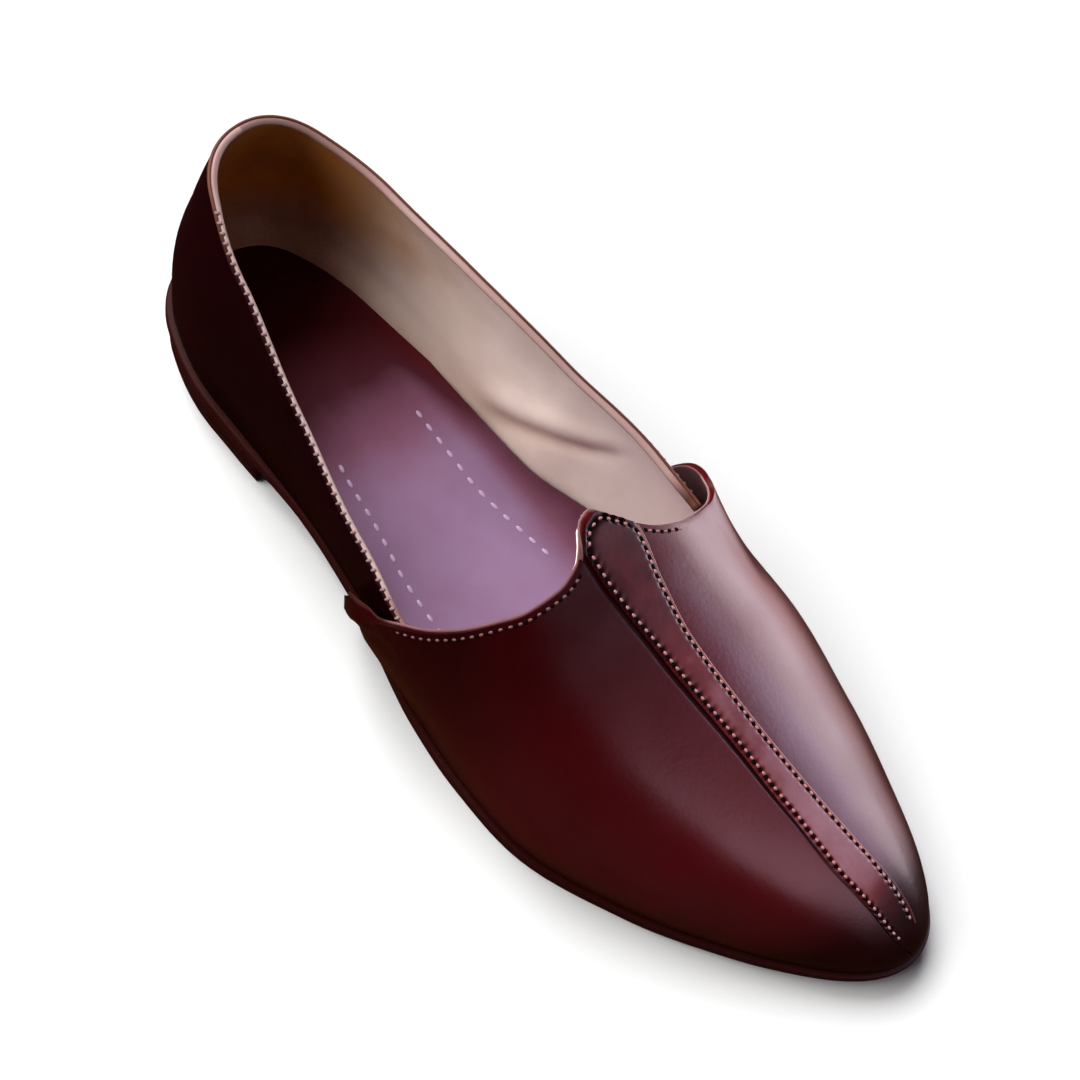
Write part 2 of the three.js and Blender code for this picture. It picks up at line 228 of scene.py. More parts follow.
def outward(x, girth):
    """Normal of the form: the cross product of its two slopes, never pointing down."""
    x, girth = np.broadcast_arrays(np.asarray(x, float), np.asarray(girth, float))
    s = np.clip(station(x), 2 * NORMAL_STEP, 1 - 2 * NORMAL_STEP)
    g = np.clip(girth, 2 * NORMAL_STEP, 1 - 2 * NORMAL_STEP)
    along = form(station_x(s + NORMAL_STEP), g) - form(station_x(s - NORMAL_STEP), g)
    around = form(station_x(s), g + NORMAL_STEP) - form(station_x(s), g - NORMAL_STEP)
    normal = np.cross(along, around)
    normal[..., 1] = np.where(x <= 0, 0, normal[..., 1])
    normal[..., 2] = np.maximum(normal[..., 2], 0)
    normal = np.where((x >= LAST_LENGTH)[..., None], np.array([1.0, 0, 0]), normal)
    return unit(normal)


def layer(x, girth, height):
    """The form moved outwards by a height in mm."""
    return form(x, girth) + np.asarray(height)[..., None] * outward(x, girth)


def girth_at(x, height):
    """Girth on the outer side where the section reaches a height: asin of the share of the rise."""
    share = np.clip((height - feather(x)) / (ridge(x) - feather(x)), 0, 1)
    return np.arcsin(share ** (fullness(x) / 2)) / np.pi


def girth_mm(x, girth):
    """Millimetres along the surface for one unit of girth, by a small difference."""
    step = form(x, girth + NORMAL_STEP) - form(x, girth - NORMAL_STEP)
    return np.linalg.norm(step, axis=-1) / (2 * NORMAL_STEP)


def collar_girth(x, side):
    """Girth of the collar's edge, counted from the bottom of its own side."""
    return girth_at(x, topline[side](x))


EAR_GIRTH = {
    "right": float(collar_girth(EAR_X["right"], "right")),
    "left": 1 - float(collar_girth(EAR_X["left"], "left")),
}
print("ear girths", round(EAR_GIRTH["right"], 3), round(EAR_GIRTH["left"], 3))

# %% [markdown]
# The vamp's rear edge runs up each side to an ear and then round the throat: two scallops with a slanted
# tab between them. Its free ears stand off the wall below, which a table of lifts describes.

# %% Rear edge of the vamp
THROAT = {
    "girth": [EAR_GIRTH["right"], 0.14, 0.212, 0.301, 0.374, 0.436, 0.475, 0.487, 0.503, 0.517, 0.541, 0.584,
              0.653, 0.72, EAR_GIRTH["left"]],
    "x": [EAR_X["right"], 138.6, 146, 152.2, 156.1, 157.1, 155.2, 152.7, 146.9, 150, 155.2, 160,
          162.4, 161.8, EAR_X["left"]],
}
throat_x = smooth_column(THROAT, "x", along="girth")
EAR_TAIL = {"reach": 2.6, "girth": 0.018, "width": 0.03}
EAR_CURL = {"depth": 2.4, "width": 2.4}
EAR_TROUGH = {"depth": 1.1, "width": 2.2, "from_edge": 8}
EAR_RIDGE = {"height": 0.5, "width": 0.016, "girth": 0.095, "fade": (4, 26)}
EAR_TOP = (0.05, 0.09)


def vamp_rear(girth):
    """Station of the vamp's rear edge: straight up each side to its ear, and along the throat between."""
    right = mix(REAR_FOOT_X["right"], EAR_X["right"], girth / EAR_GIRTH["right"])
    left = mix(REAR_FOOT_X["left"], EAR_X["left"], (1 - girth) / (1 - EAR_GIRTH["left"]))
    inside = throat_x(girth)
    return np.where(girth < EAR_GIRTH["right"], right, np.where(girth > EAR_GIRTH["left"], left, inside))


def vamp_edge(girth):
    """The rear edge with the outer ear's tail: low on that side, a bell of a few mm towards the heel."""
    return vamp_rear(girth) - EAR_TAIL["reach"] * bell(girth - EAR_TAIL["girth"], EAR_TAIL["width"])


def ear_flare(x, girth):
    """Gap between vamp and wall: the table's lift, falling with the square of the way from the edge."""
    fade = np.clip(1 - (x - vamp_rear(girth)) / ear_reach(girth), 0, 1)
    return ear_lift(girth) * fade**2


def ear_crease(x, girth):
    """The outer ear's soft bend: its rim curls in towards the wall and a trough lies a few millimetres
    before it, each a bell along x that fades out up the side. A soft ridge runs forward from its upper
    corner."""
    from_edge = x - vamp_edge(girth)
    curl = EAR_CURL["depth"] * bell(from_edge, EAR_CURL["width"])
    trough = EAR_TROUGH["depth"] * bell(from_edge - EAR_TROUGH["from_edge"], EAR_TROUGH["width"])
    low = 1 - smooth_step(*EAR_TOP, girth)
    soft_ridge = EAR_RIDGE["height"] * bell(girth - EAR_RIDGE["girth"], EAR_RIDGE["width"])
    return (curl + trough) * low - soft_ridge * (1 - smooth_step(*EAR_RIDGE["fade"], from_edge))


def sole_outline(share, side, margin):
    """The feather edge in plan, moved out by a margin along its own normal. side is -1 right, 1 left."""
    at = np.clip(share, NORMAL_STEP, 1 - NORMAL_STEP)
    ahead = station_x(at + NORMAL_STEP)
    behind = station_x(at - NORMAL_STEP)
    along = np.stack([ahead - behind, swing(ahead) - swing(behind) + side * (half(ahead) - half(behind))], -1)
    along = unit(along)
    out = np.stack([-along[..., 1], along[..., 0]], -1) * side
    out = np.where((share <= 0)[..., None], np.array([-1.0, 0]), out)
    out = np.where((share >= 1)[..., None], np.array([1.0, 0]), out)
    x = station_x(share)
    plan = np.stack([x, swing(x) + side * half(x)], -1)
    return plan + out * np.asarray(margin)[..., None]


OUTLINE_STEPS = 201
shares = np.linspace(0, 1, OUTLINE_STEPS)
edge_right = sole_outline(shares, -1, sole_edge(station_x(shares)))
edge_left = sole_outline(shares, 1, sole_edge(station_x(shares)))
outline_low = np.minimum(edge_right.min(0), edge_left.min(0))
sole_low = np.array(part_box("outsole")[0]) * 1000
SHOE_ORIGIN = np.array([outline_low[0] - sole_low[0], outline_low[1] - sole_low[1], 0])
print("shoe origin in the row frame, mm:", np.round(-SHOE_ORIGIN, 2))

# %% [markdown]
# ## From arrays to meshes
# Every piece is a grid of points, so one helper turns points and faces into a mesh in metres, in the CAD
# frame. Numbers that belong to a point, such as how much a place is rubbed dark, go along as an attribute
# that the material reads. Points that coincide, as at the toe, are merged, so that seams and poles are
# closed.

# %% Mesh helpers
MERGE_MM = 0.002
CUT_EDGE_SEGMENTS = 3
CUT_EDGE_ANGLE = math.radians(55)


def to_row(points):
    """Shoe millimetres to metres in the row frame."""
    return (np.asarray(points).reshape(-1, 3) - SHOE_ORIGIN) / 1000


def grid_faces(shape, flip=False):
    """Four corners of each cell of a grid, facing along (first direction) x (second direction)."""
    rows, columns = shape[:2]
    corner = (np.arange(rows - 1)[:, None] * columns + np.arange(columns - 1)).ravel()
    faces = np.stack([corner, corner + columns, corner + columns + 1, corner + 1], axis=-1)
    return faces[:, ::-1] if flip else faces


def add_piece(name, points, faces, material, nodes, slot, **attributes):
    """Makes a merged, smooth mesh from arrays, and tells the frame what it rides on and replaces."""
    mesh = bpy.data.meshes.new(name)
    mesh.from_pydata(to_row(points).tolist(), [], np.asarray(faces).tolist())
    for key, values in attributes.items():
        data = mesh.attributes.new(key, "FLOAT", "POINT").data
        data.foreach_set("value", np.asarray(values, np.float32).ravel())
    work = bmesh.new()
    work.from_mesh(mesh)
    bmesh.ops.remove_doubles(work, verts=work.verts, dist=MERGE_MM / 1000)
    work.to_mesh(mesh)
    work.free()
    mesh.polygons.foreach_set("use_smooth", np.ones(len(mesh.polygons), bool))
    mesh.materials.append(material)
    piece = bpy.data.objects.new(name, mesh)
    bpy.context.scene.collection.objects.link(piece)
    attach(piece, "root")
    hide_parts(*nodes)
    print(name, len(mesh.vertices), "points,", len(mesh.polygons), "faces")
    return piece


def thicken(piece, thickness, rounding):
    """Gives a sheet its thickness inwards and rounds its cut edges, both in mm."""
    solid = piece.modifiers.new("thickness", "SOLIDIFY")
    solid.thickness = thickness / 1000
    solid.offset = -1
    bevel = piece.modifiers.new("rounded edge", "BEVEL")
    bevel.width = rounding / 1000
    bevel.segments = CUT_EDGE_SEGMENTS
    bevel.limit_method = "ANGLE"
    bevel.angle_limit = CUT_EDGE_ANGLE


print("points closer than", MERGE_MM, "mm are merged")

# %% [markdown]
# ## Materials
# Leather is a skin with fine pores and wrinkles under a wax or lacquer. Its colour comes from a base that
# varies softly, its gloss from the coat, and its life from a grain that is only a few hundredths of a
# millimetre deep. Node textures on Object coordinates are used, because they follow the piece from any side
# and need no images.

# %% Material helpers
def hex_colour(code):
    """sRGB hex to linear: divide by 12.92 below 0.04045, else ((c + 0.055) / 1.055) to the power 2.4."""
    srgb = np.array([int(code[k:k + 2], 16) for k in (1, 3, 5)]) / 255
    linear = np.where(srgb <= 0.04045, srgb / 12.92, ((srgb + 0.055) / 1.055) ** 2.4)
    return (*linear.tolist(), 1.0)


def add_node(tree, kind, inputs, **settings):
    """Adds a node, sets its settings, and for each input links a socket or sets a value."""
    made = tree.nodes.new(kind)
    for key, value in settings.items():
        setattr(made, key, value)
    for key, value in inputs.items():
        if isinstance(value, bpy.types.NodeSocket):
            tree.links.new(value, made.inputs[key])
        else:
            made.inputs[key].default_value = value
    return made


def new_material(name):
    """An empty material with its output, ready for nodes."""
    material = bpy.data.materials.new(name)
    material.use_nodes = True
    material.node_tree.nodes.clear()
    return material, material.node_tree


def set_ramp(ramp, stops):
    """Puts colour stops, as (position, hex), on a colour ramp."""
    points = ramp.color_ramp.elements
    while len(points) < len(stops):
        points.new(1.0)
    for point, (position, code) in zip(points, stops):
        point.position = position
        point.color = hex_colour(code)


def per_metre(size_mm):
    """Texture scale that repeats a pattern every so many millimetres."""
    return 1000 / size_mm


TONE_RANGE = (0.1, 0.95)


def shade_and_wear_tone(tree, place, tones, cloud_mm, detail, weight):
    """Colour from clean to worn and shaded: soft clouds times a weight, plus the piece's attribute of wear,
    painted shade and painted light, give the place on a ramp of tones."""
    cloud = add_node(tree, "ShaderNodeTexNoise", {
        "Vector": place, "Scale": per_metre(cloud_mm), "Detail": detail})
    burnish = add_node(tree, "ShaderNodeAttribute", {}, attribute_name="burnish")
    depth = add_node(tree, "ShaderNodeMath", {
        0: cloud.outputs["Fac"], 1: weight, 2: burnish.outputs["Fac"]},
        operation="MULTIPLY_ADD", use_clamp=True)
    tone = add_node(tree, "ShaderNodeValToRGB", {"Fac": depth.outputs[0]})
    set_ramp(tone, list(zip(np.linspace(*TONE_RANGE, len(tones)), tones)))
    return tone.outputs["Color"]


def close_material(tree, surface):
    """Ends a material: a Principled surface with these inputs, joined to the output."""
    skin = add_node(tree, "ShaderNodeBsdfPrincipled", surface)
    add_node(tree, "ShaderNodeOutputMaterial", {"Surface": skin.outputs["BSDF"]})


print("mid grey is", round(hex_colour("#808080")[0], 3), "in linear light")

# %% [markdown]
# The vamp, the quarters, the strip and their edges are one kind of leather in several states of wear and
# of painted shade and light. Painting each by hand would fix its pattern to one view, so every leather has a
# ramp of tones, and every piece says where on the ramp each of its points lies. The grain and the slower
# pull of the skin over the last make the bump and stir the shine.

# %% Oxblood leather
GRAIN_MM = 1.1        # real grain is about 0.4 mm; drawn coarser, so that it shows in the render
PULL_MM = 14
CLOUD_MM = 38
STRIP_CLOUD_MM = 9
CLOUD_DETAIL = 3.0
CLOUD_WEIGHT = 0.45
PULL_DETAIL = 2.0
PULL_RANGE = (0.3, 0.7)
GRAIN_WEIGHT = 0.25
GRAIN_STRENGTH = 0.16
GRAIN_DEPTH = 0.0006
SHINE_SPREAD = 0.06
WAX_ROUGHNESS = 0.22


def oxblood_leather(name, tones, gloss, coat, specular, cloud_mm=CLOUD_MM):
    """Box calf, dyed oxblood and polished: a saturated dark red with a wet, soft-edged shine. The piece's
    attribute moves each place along the ramp, by wear and by painted shade and painted light."""
    material, tree = new_material(name)
    place = add_node(tree, "ShaderNodeTexCoord", {}).outputs["Object"]
    grain = add_node(tree, "ShaderNodeTexVoronoi", {
        "Vector": place, "Scale": per_metre(GRAIN_MM)}, feature="SMOOTH_F1")
    pull = add_node(tree, "ShaderNodeTexNoise", {
        "Vector": place, "Scale": per_metre(PULL_MM), "Detail": PULL_DETAIL})
    relief = add_node(tree, "ShaderNodeMath", {
        0: grain.outputs["Distance"], 1: GRAIN_WEIGHT, 2: pull.outputs["Fac"]}, operation="MULTIPLY_ADD")
    bump = add_node(tree, "ShaderNodeBump", {
        "Height": relief.outputs[0], "Strength": GRAIN_STRENGTH, "Distance": GRAIN_DEPTH})
    shine = add_node(tree, "ShaderNodeMapRange", {
        "Value": pull.outputs["Fac"], "From Min": PULL_RANGE[0], "From Max": PULL_RANGE[1],
        "To Min": gloss, "To Max": gloss + SHINE_SPREAD})
    close_material(tree, {
        "Base Color": shade_and_wear_tone(tree, place, tones, cloud_mm, CLOUD_DETAIL, CLOUD_WEIGHT),
        "Roughness": shine.outputs["Result"], "Normal": bump.outputs["Normal"],
        "Specular IOR Level": specular, "Coat Weight": coat, "Coat Roughness": WAX_ROUGHNESS})
    return material


# The vamp, polished to a deep, wet shine.
VAMP_LEATHER = oxblood_leather("polished_oxblood_calf", ["#43060b", "#1c0001"],
                               gloss=0.28, coat=0.1, specular=0.22)
# The strip, paler towards the toe, which is a painted sheen.
STRIP_LEATHER = oxblood_leather("oxblood_calf_strip", ["#7c545f", "#551a20", "#2e0304", "#0e0102"],
                                gloss=0.34, coat=0.1, specular=0.2, cloud_mm=STRIP_CLOUD_MM)
# The quarters, matt and nearly black: partly their own dark leather, partly painted shade.
QUARTER_LEATHER = oxblood_leather("dark_and_shaded_oxblood_calf", ["#180105", "#0a0001"],
                                  gloss=0.36, coat=0.0, specular=0.05)
# The strip's folded edge, pale as a painted highlight.
PIPING_LEATHER = oxblood_leather("strip_edge_painted_highlight", ["#8f5a5a", "#4a2426"],
                                 gloss=0.4, coat=0.1, specular=0.2)
# The collar's folded edge, worn brown.
BINDING_LEATHER = oxblood_leather("rubbed_oxblood_calf", ["#74483c", "#1a0408"],
                                  gloss=0.45, coat=0.0, specular=0.15)
print("leathers:", VAMP_LEATHER.name, STRIP_LEATHER.name, QUARTER_LEATHER.name, PIPING_LEATHER.name,
      BINDING_LEATHER.name)

# %% [markdown]
# The lining, the sock, the sole and the threads are quieter: no polish, a fine grain and soft clouds of
# wear. They share one recipe, and the tones, the roughness and the size of the grain tell them apart.

# %% Lining, sock, thread and sole finishes
PLAIN_CLOUD_MM = 22
PLAIN_CLOUD_DETAIL = 5.0
PLAIN_CLOUD_WEIGHT = 0.3
PLAIN_STRENGTH = 0.35
PLAIN_COAT_ROUGHNESS = 0.35


def plain_leather(name, tones, roughness, grain_mm, depth_mm, coat=0.0, specular=0.4):
    """Undyed or lightly dyed leather: tones from clean to worn in soft clouds, a fine grain, less shine."""
    material, tree = new_material(name)
    place = add_node(tree, "ShaderNodeTexCoord", {}).outputs["Object"]
    grain = add_node(tree, "ShaderNodeTexVoronoi", {"Vector": place, "Scale": per_metre(grain_mm)})
    bump = add_node(tree, "ShaderNodeBump", {
        "Height": grain.outputs["Distance"], "Strength": PLAIN_STRENGTH, "Distance": depth_mm / 1000})
    close_material(tree, {
        "Base Color": shade_and_wear_tone(tree, place, tones, PLAIN_CLOUD_MM, PLAIN_CLOUD_DETAIL, PLAIN_CLOUD_WEIGHT),
        "Roughness": roughness, "Normal": bump.outputs["Normal"],
        "Specular IOR Level": specular, "Coat Weight": coat, "Coat Roughness": PLAIN_COAT_ROUGHNESS})
    return material


# Vegetable-tanned sheepskin, left pale: matt, a little uneven, and golden brown at the heel, partly from
# wear and partly as painted shade; its darkest tone is painted shade.
LINING_LEATHER = plain_leather("pale_sheepskin_lining",
                               ["#f3e5dd", "#d3bcaf", "#ae8668", "#bc7824", "#4a1c04"],
                               roughness=0.5, grain_mm=1.0, depth_mm=0.12, specular=0.12)
# The lining's folded edge, handled until it shines.
EDGE_LEATHER = plain_leather("folded_edge_sheepskin", ["#b29c9a", "#8a6c68", "#4a2c24"],
                             roughness=0.42, grain_mm=0.9, depth_mm=0.08, coat=0.1, specular=0.2)
# The facing of the throat, the same leather in a dusty pink, darkened further by painted shade.
FACING_LEATHER = plain_leather("pink_and_shaded_facing_sheepskin", ["#94787a", "#6c4a4e", "#341a16"],
                               roughness=0.45, grain_mm=0.9, depth_mm=0.08, specular=0.12)
# Smooth dyed sock leather: violet in the front, dark red at the heel from wear and painted shade.
SOCK_LEATHER = plain_leather("violet_sock_leather", ["#7e6684", "#6a4458", "#46202a", "#4c181e"],
                             roughness=0.42, grain_mm=1.1, depth_mm=0.08, specular=0.02)
# Sole leather, inked dark and waxed at its edge.
SOLE_LEATHER = plain_leather("inked_sole_leather", ["#2a0907", "#140303"],
                             roughness=0.55, grain_mm=0.9, depth_mm=0.1, specular=0.1)
# Waxed linen thread, a dusty pink.
THREAD = plain_leather("waxed_linen_thread", ["#9a6a66", "#4a262a"],
                       roughness=0.5, grain_mm=0.35, depth_mm=0.06)
# The same thread at the collar, greyed by wear.
COLLAR_THREAD = plain_leather("worn_linen_thread", ["#82666a", "#563c40"],
                              roughness=0.6, grain_mm=0.35, depth_mm=0.06)
# Lavender thread of the sock.
SOCK_THREAD = plain_leather("lavender_linen_thread", ["#a890b0", "#86729a"],
                            roughness=0.5, grain_mm=0.35, depth_mm=0.06)
# The dark inside of a needle hole, which is painted shade.
NEEDLE_HOLE_SHADE = plain_leather("needle_hole_painted_shade", ["#120506", "#080203"],
                            roughness=0.9, grain_mm=0.5, depth_mm=0.02, specular=0.02)
print("finishes:", LINING_LEATHER.name, SOCK_LEATHER.name, SOLE_LEATHER.name, THREAD.name)

# %% [markdown]
# ## Quarters and lining
# The quarters are the leather round the heel and along both sides. They are one grid: the first direction
# goes from the outer ear round the heel to the inner ear, the second from the sole up to the collar. Their
# front ends go on under the vamp, as a maker leaves them for sewing. The lining lies inside them and
# carries on to the toe.

# %% Quarters
QUARTER_SKIN = 1.0
QUARTER_TUCK = {"right": 9, "left": 9}
QUARTER_COLUMNS = 241
QUARTER_ROWS = 46
QUARTER_SHADE = {"plain": 0.25, "low": 0.5, "low_band": 14}


def quarter_grid(columns, rows, tuck):
    """Station and girth of a grid round the heel. u runs from -1 to 1, x is 1 - cos(u pi / 2) of the way to
    the front edge, and the girth is a share v of the collar's."""
    u = np.linspace(-1, 1, columns)[:, None]
    v = np.linspace(0, 1, rows)[None, :]
    along = 1 - np.cos(np.abs(u) * np.pi / 2)
    x = np.zeros((columns, rows))
    girth = np.zeros((columns, rows))
    for side, mine in (("right", u < 0), ("left", u >= 0)):
        front = mix(REAR_FOOT_X[side], EAR_X[side], v) + tuck[side]
        up = v * collar_girth(along * (EAR_X[side] + tuck[side]), side)
        x = np.where(mine, along * front, x)
        girth = np.where(mine, up if side == "right" else 1 - up, girth)
    return x, girth


quarter_x, quarter_girth = quarter_grid(QUARTER_COLUMNS, QUARTER_ROWS, QUARTER_TUCK)
quarter_points = layer(quarter_x, quarter_girth, np.zeros(quarter_x.shape))
low_edge = 1 - smooth_step(0, QUARTER_SHADE["low_band"], quarter_points[..., 2] - feather(quarter_x))
quarters = add_piece("quarters", quarter_points, grid_faces(quarter_x.shape, flip=True), QUARTER_LEATHER,
                     ["upper"], "upper_leather",
                     burnish=QUARTER_SHADE["plain"] + QUARTER_SHADE["low"] * low_edge)
thicken(quarters, QUARTER_SKIN, rounding=0.35)

# %% [markdown]
# The lining is the same form, one millimetre further in. At the throat it rises to meet the vamp, so that
# the edge there is thin, and low on the inner side it has the soft fold that the photograph shows: a ridge
# with a trough below it, along a line given in the shoe's own sizes.

# %% Shape of the lining
LINING_SKIN = 0.8
INNER_SIDE = 0.6
SIDE_GIRTHS = (0.01, 0.99)
EDGE_SLACK = 0.01
THROAT_RISE = {"height": 0.62, "reach": 12, "right": (0.13, 0.22), "left": (0.66, 0.72)}
HEEL_COVE = {"depth": 5.0, "height": 16, "fade": (30, 90)}
FOLD = {
    "x": [86, 94, 102, 110, 118, 126, 134],
    "girth": [0.9945, 0.9925, 0.987, 0.977, 0.9645, 0.945, 0.915],
}
FOLD_ENDS = {"rear": (84, 98), "front": (122, 136)}
FOLD_RIDGE = {"height": 1.0, "above": 6.0, "width": 5.0}
FOLD_TROUGH = {"depth": 0.8, "above": -0.6, "width": 3.8}
fold_girth = smooth_column(FOLD, "girth")


def side_mm(x, girth):
    """Millimetres for one unit of girth, taken just off the bottom edges, where a section turns sharply."""
    return girth_mm(x, np.clip(girth, *SIDE_GIRTHS))


def fold_place(x, girth):
    """Distance above the fold's line in mm, and how much of the fold is left towards its two ends."""
    off = (fold_girth(x) - girth) * side_mm(x, girth)
    ends = smooth_step(*FOLD_ENDS["rear"], x) * (1 - smooth_step(*FOLD_ENDS["front"], x))
    return off, ends * (girth > INNER_SIDE)


def lining_fold(x, girth):
    """Inward swell of the fold: a ridge beside a trough, each a bell across the line."""
    off, ends = fold_place(x, girth)
    ridge_bell = FOLD_RIDGE["height"] * bell(off - FOLD_RIDGE["above"], FOLD_RIDGE["width"])
    trough_bell = FOLD_TROUGH["depth"] * bell(off - FOLD_TROUGH["above"], FOLD_TROUGH["width"])
    return ends * (ridge_bell - trough_bell)


def lining_height(x, girth):
    """Outer face of the lining: one skin inside the wall, higher beside the throat, lower at the fold and
    in the cove round the foot of the heel."""
    near_throat = 1 - smooth_step(0, THROAT_RISE["reach"], x - vamp_rear(girth))
    between_ears = smooth_step(*THROAT_RISE["right"], girth) * (1 - smooth_step(*THROAT_RISE["left"], girth))
    behind = x < vamp_rear(girth) - EDGE_SLACK
    rise = np.where(behind, 0, THROAT_RISE["height"] * near_throat * between_ears)
    above = form(x, girth)[..., 2] - feather(x)
    cove = (1 - smooth_step(0, HEEL_COVE["height"], above)) ** 2 * (1 - smooth_step(*HEEL_COVE["fade"], x))
    return -QUARTER_SKIN + rise - lining_fold(x, girth) - HEEL_COVE["depth"] * cove


print("fold from", FOLD["x"][0], "to", FOLD["x"][-1], "mm")

# %% [markdown]
# Wear and shade are painted as numbers too. The heel is golden brown from wear and darker by painted shade;
# the trough of the fold, the two corners where the collar goes under the vamp and the low waist get painted
# shade; the front and the foot of the heel get painted light.

# %% Wear, painted shade and painted light of the lining
# Painted shade in the trough of the fold and in the two corners under the vamp.
FOLD_PAINTED_SHADE = {"shade": 0.16, "width": 4.2}
CORNER_PAINTED_SHADE = {"shade": 0.7, "ahead": 3, "along": 10, "across": 4}
# Heel: wear with painted shade. Front and the heel's foot: painted light. Low at the waist: painted shade.
LINING_SHADE_AND_WEAR = {"heel": 0.6, "front": 0.1, "painted_waist_shade": 0.1, "painted_heel_foot_light": 0.22}
HEEL_SHADE_AND_WEAR_SPAN = (5, 90)
FRONT_LIGHT_SPAN = (116, 142)
WAIST_SPAN = {"above": (5, 20), "rear": (20, 70), "front": (92, 128)}
HEEL_FOOT_SPAN = {"above": (8, 38), "along": (44, 84)}


def lining_painted_shade(x, girth):
    """Painted shade as a bell across the fold's line, and as a bell along and across each corner, in mm."""
    off, ends = fold_place(x, girth)
    shade = FOLD_PAINTED_SHADE["shade"] * ends * bell(off, FOLD_PAINTED_SHADE["width"])
    for side in ("right", "left"):
        along = bell(x - EAR_X[side] - CORNER_PAINTED_SHADE["ahead"], CORNER_PAINTED_SHADE["along"])
        across = bell((girth - EAR_GIRTH[side]) * side_mm(x, girth), CORNER_PAINTED_SHADE["across"])
        shade = shade + CORNER_PAINTED_SHADE["shade"] * along * across
    return shade


def lining_shade_and_wear(x, above):
    """Tone by place: wear and painted shade fading from the heel, painted light at the front and at the foot
    of the heel, and painted shade low at the waist. Each is a product of smooth steps; above is the height
    over the sole's edge."""
    at_heel = 1 - smooth_step(*HEEL_SHADE_AND_WEAR_SPAN, x)
    painted_front_light = smooth_step(*FRONT_LIGHT_SPAN, x)
    waist = smooth_step(*WAIST_SPAN["rear"], x) * (1 - smooth_step(*WAIST_SPAN["front"], x))
    painted_waist_shade = (1 - smooth_step(*WAIST_SPAN["above"], above)) * waist
    low_foot = 1 - smooth_step(*HEEL_FOOT_SPAN["above"], above)
    painted_heel_foot_light = low_foot * (1 - smooth_step(*HEEL_FOOT_SPAN["along"], x))
    more = LINING_SHADE_AND_WEAR["heel"] * at_heel + LINING_SHADE_AND_WEAR["painted_waist_shade"] * painted_waist_shade
    return more - LINING_SHADE_AND_WEAR["front"] * painted_front_light - LINING_SHADE_AND_WEAR["painted_heel_foot_light"] * painted_heel_foot_light


print("wear at the heel", LINING_SHADE_AND_WEAR["heel"])

# %% Lining
LINING_UP = 40
LINING_ALONG = 90
THROAT_ROWS = 120
NO_TUCK = {"right": 0, "left": 0}
SET_BACK = {"reach": 8, "corner": 0.006, "right": (0.26, 0.36), "left": (0.62, 0.7)}
side_share = np.linspace(0, 1, LINING_UP)
girths_right = side_share * EAR_GIRTH["right"]
girths_left = 1 - side_share[::-1] * (1 - EAR_GIRTH["left"])
girths_middle = np.linspace(EAR_GIRTH["right"], EAR_GIRTH["left"], THROAT_ROWS)[1:-1]
vamp_girths = np.concatenate([girths_right, girths_middle, girths_left])
past_right = smooth_step(EAR_GIRTH["right"], EAR_GIRTH["right"] + SET_BACK["corner"], vamp_girths)
past_left = 1 - smooth_step(EAR_GIRTH["left"] - SET_BACK["corner"], EAR_GIRTH["left"], vamp_girths)
near_right = 1 - smooth_step(*SET_BACK["right"], vamp_girths)
near_left = smooth_step(*SET_BACK["left"], vamp_girths)
set_back = SET_BACK["reach"] * (past_right * near_right + past_left * near_left)
toe_share = np.linspace(0, 1, LINING_ALONG)[:, None]
toe_x = station_x(mix(station(vamp_rear(vamp_girths) + set_back)[None, :], 1, toe_share))
toe_girth = np.broadcast_to(vamp_girths, toe_x.shape)
back_x, back_girth = quarter_grid(QUARTER_COLUMNS, LINING_UP, NO_TUCK)
lining_x = np.concatenate([back_x.ravel(), toe_x.ravel()])
lining_girth = np.concatenate([back_girth.ravel(), toe_girth.ravel()])
lining_points = layer(lining_x, lining_girth, lining_height(lining_x, lining_girth))
lining_faces = np.concatenate([grid_faces(back_x.shape, flip=True), grid_faces(toe_x.shape) + back_x.size])
lining_shade = lining_shade_and_wear(lining_points[:, 0], lining_points[:, 2] - feather(lining_points[:, 0]))
lining = add_piece("lining", lining_points, lining_faces, LINING_LEATHER, ["upper"], "insole_leather",
                   burnish=lining_shade + lining_painted_shade(lining_x, lining_girth))
thicken(lining, LINING_SKIN, rounding=0.25)

# %% [markdown]
# ## Collar edge
# Along the collar the quarter leather is folded in, and the lining is folded against it as a soft pale
# roll. A bevelled curve could make both, but here a rounded profile is carried along the collar in the
# wall's own directions, so that the fold and the roll lean with the wall.

# %% Path of the collar
ROLL_SIDES = 14
ROLL_TUCK = {"right": 10, "left": 5}
COLLAR_STEPS = 361
RIDGE_GIRTH = 0.5
collar_x, collar_g = quarter_grid(COLLAR_STEPS, 2, ROLL_TUCK)
collar_x = collar_x[:, 1]
collar_g = collar_g[:, 1]
collar_path = layer(collar_x, collar_g, np.zeros(collar_x.shape))
collar_out = outward(collar_x, collar_g)


def frame_along(path, out):
    """Directions across a path: outward, made square to the path's direction, and up, their product."""
    ahead = unit(np.gradient(path, axis=0))
    side = unit(out - (out * ahead).sum(-1, keepdims=True) * ahead)
    return side, np.cross(ahead, side)


def carry(path, side, up, profile):
    """A closed profile of (outward, up) offsets carried along a path, with its ends drawn to a point."""
    offsets = profile[None, :, 0, None] * side[:, None] + profile[None, :, 1, None] * up[:, None]
    middle = (profile.max(0) + profile.min(0)) / 2
    core = path + middle[0] * side + middle[1] * up
    body = path[:, None] + offsets
    first = np.broadcast_to(core[:1, None], body[:1].shape)
    last = np.broadcast_to(core[-1:, None], body[-1:].shape)
    return np.concatenate([first, body, last])


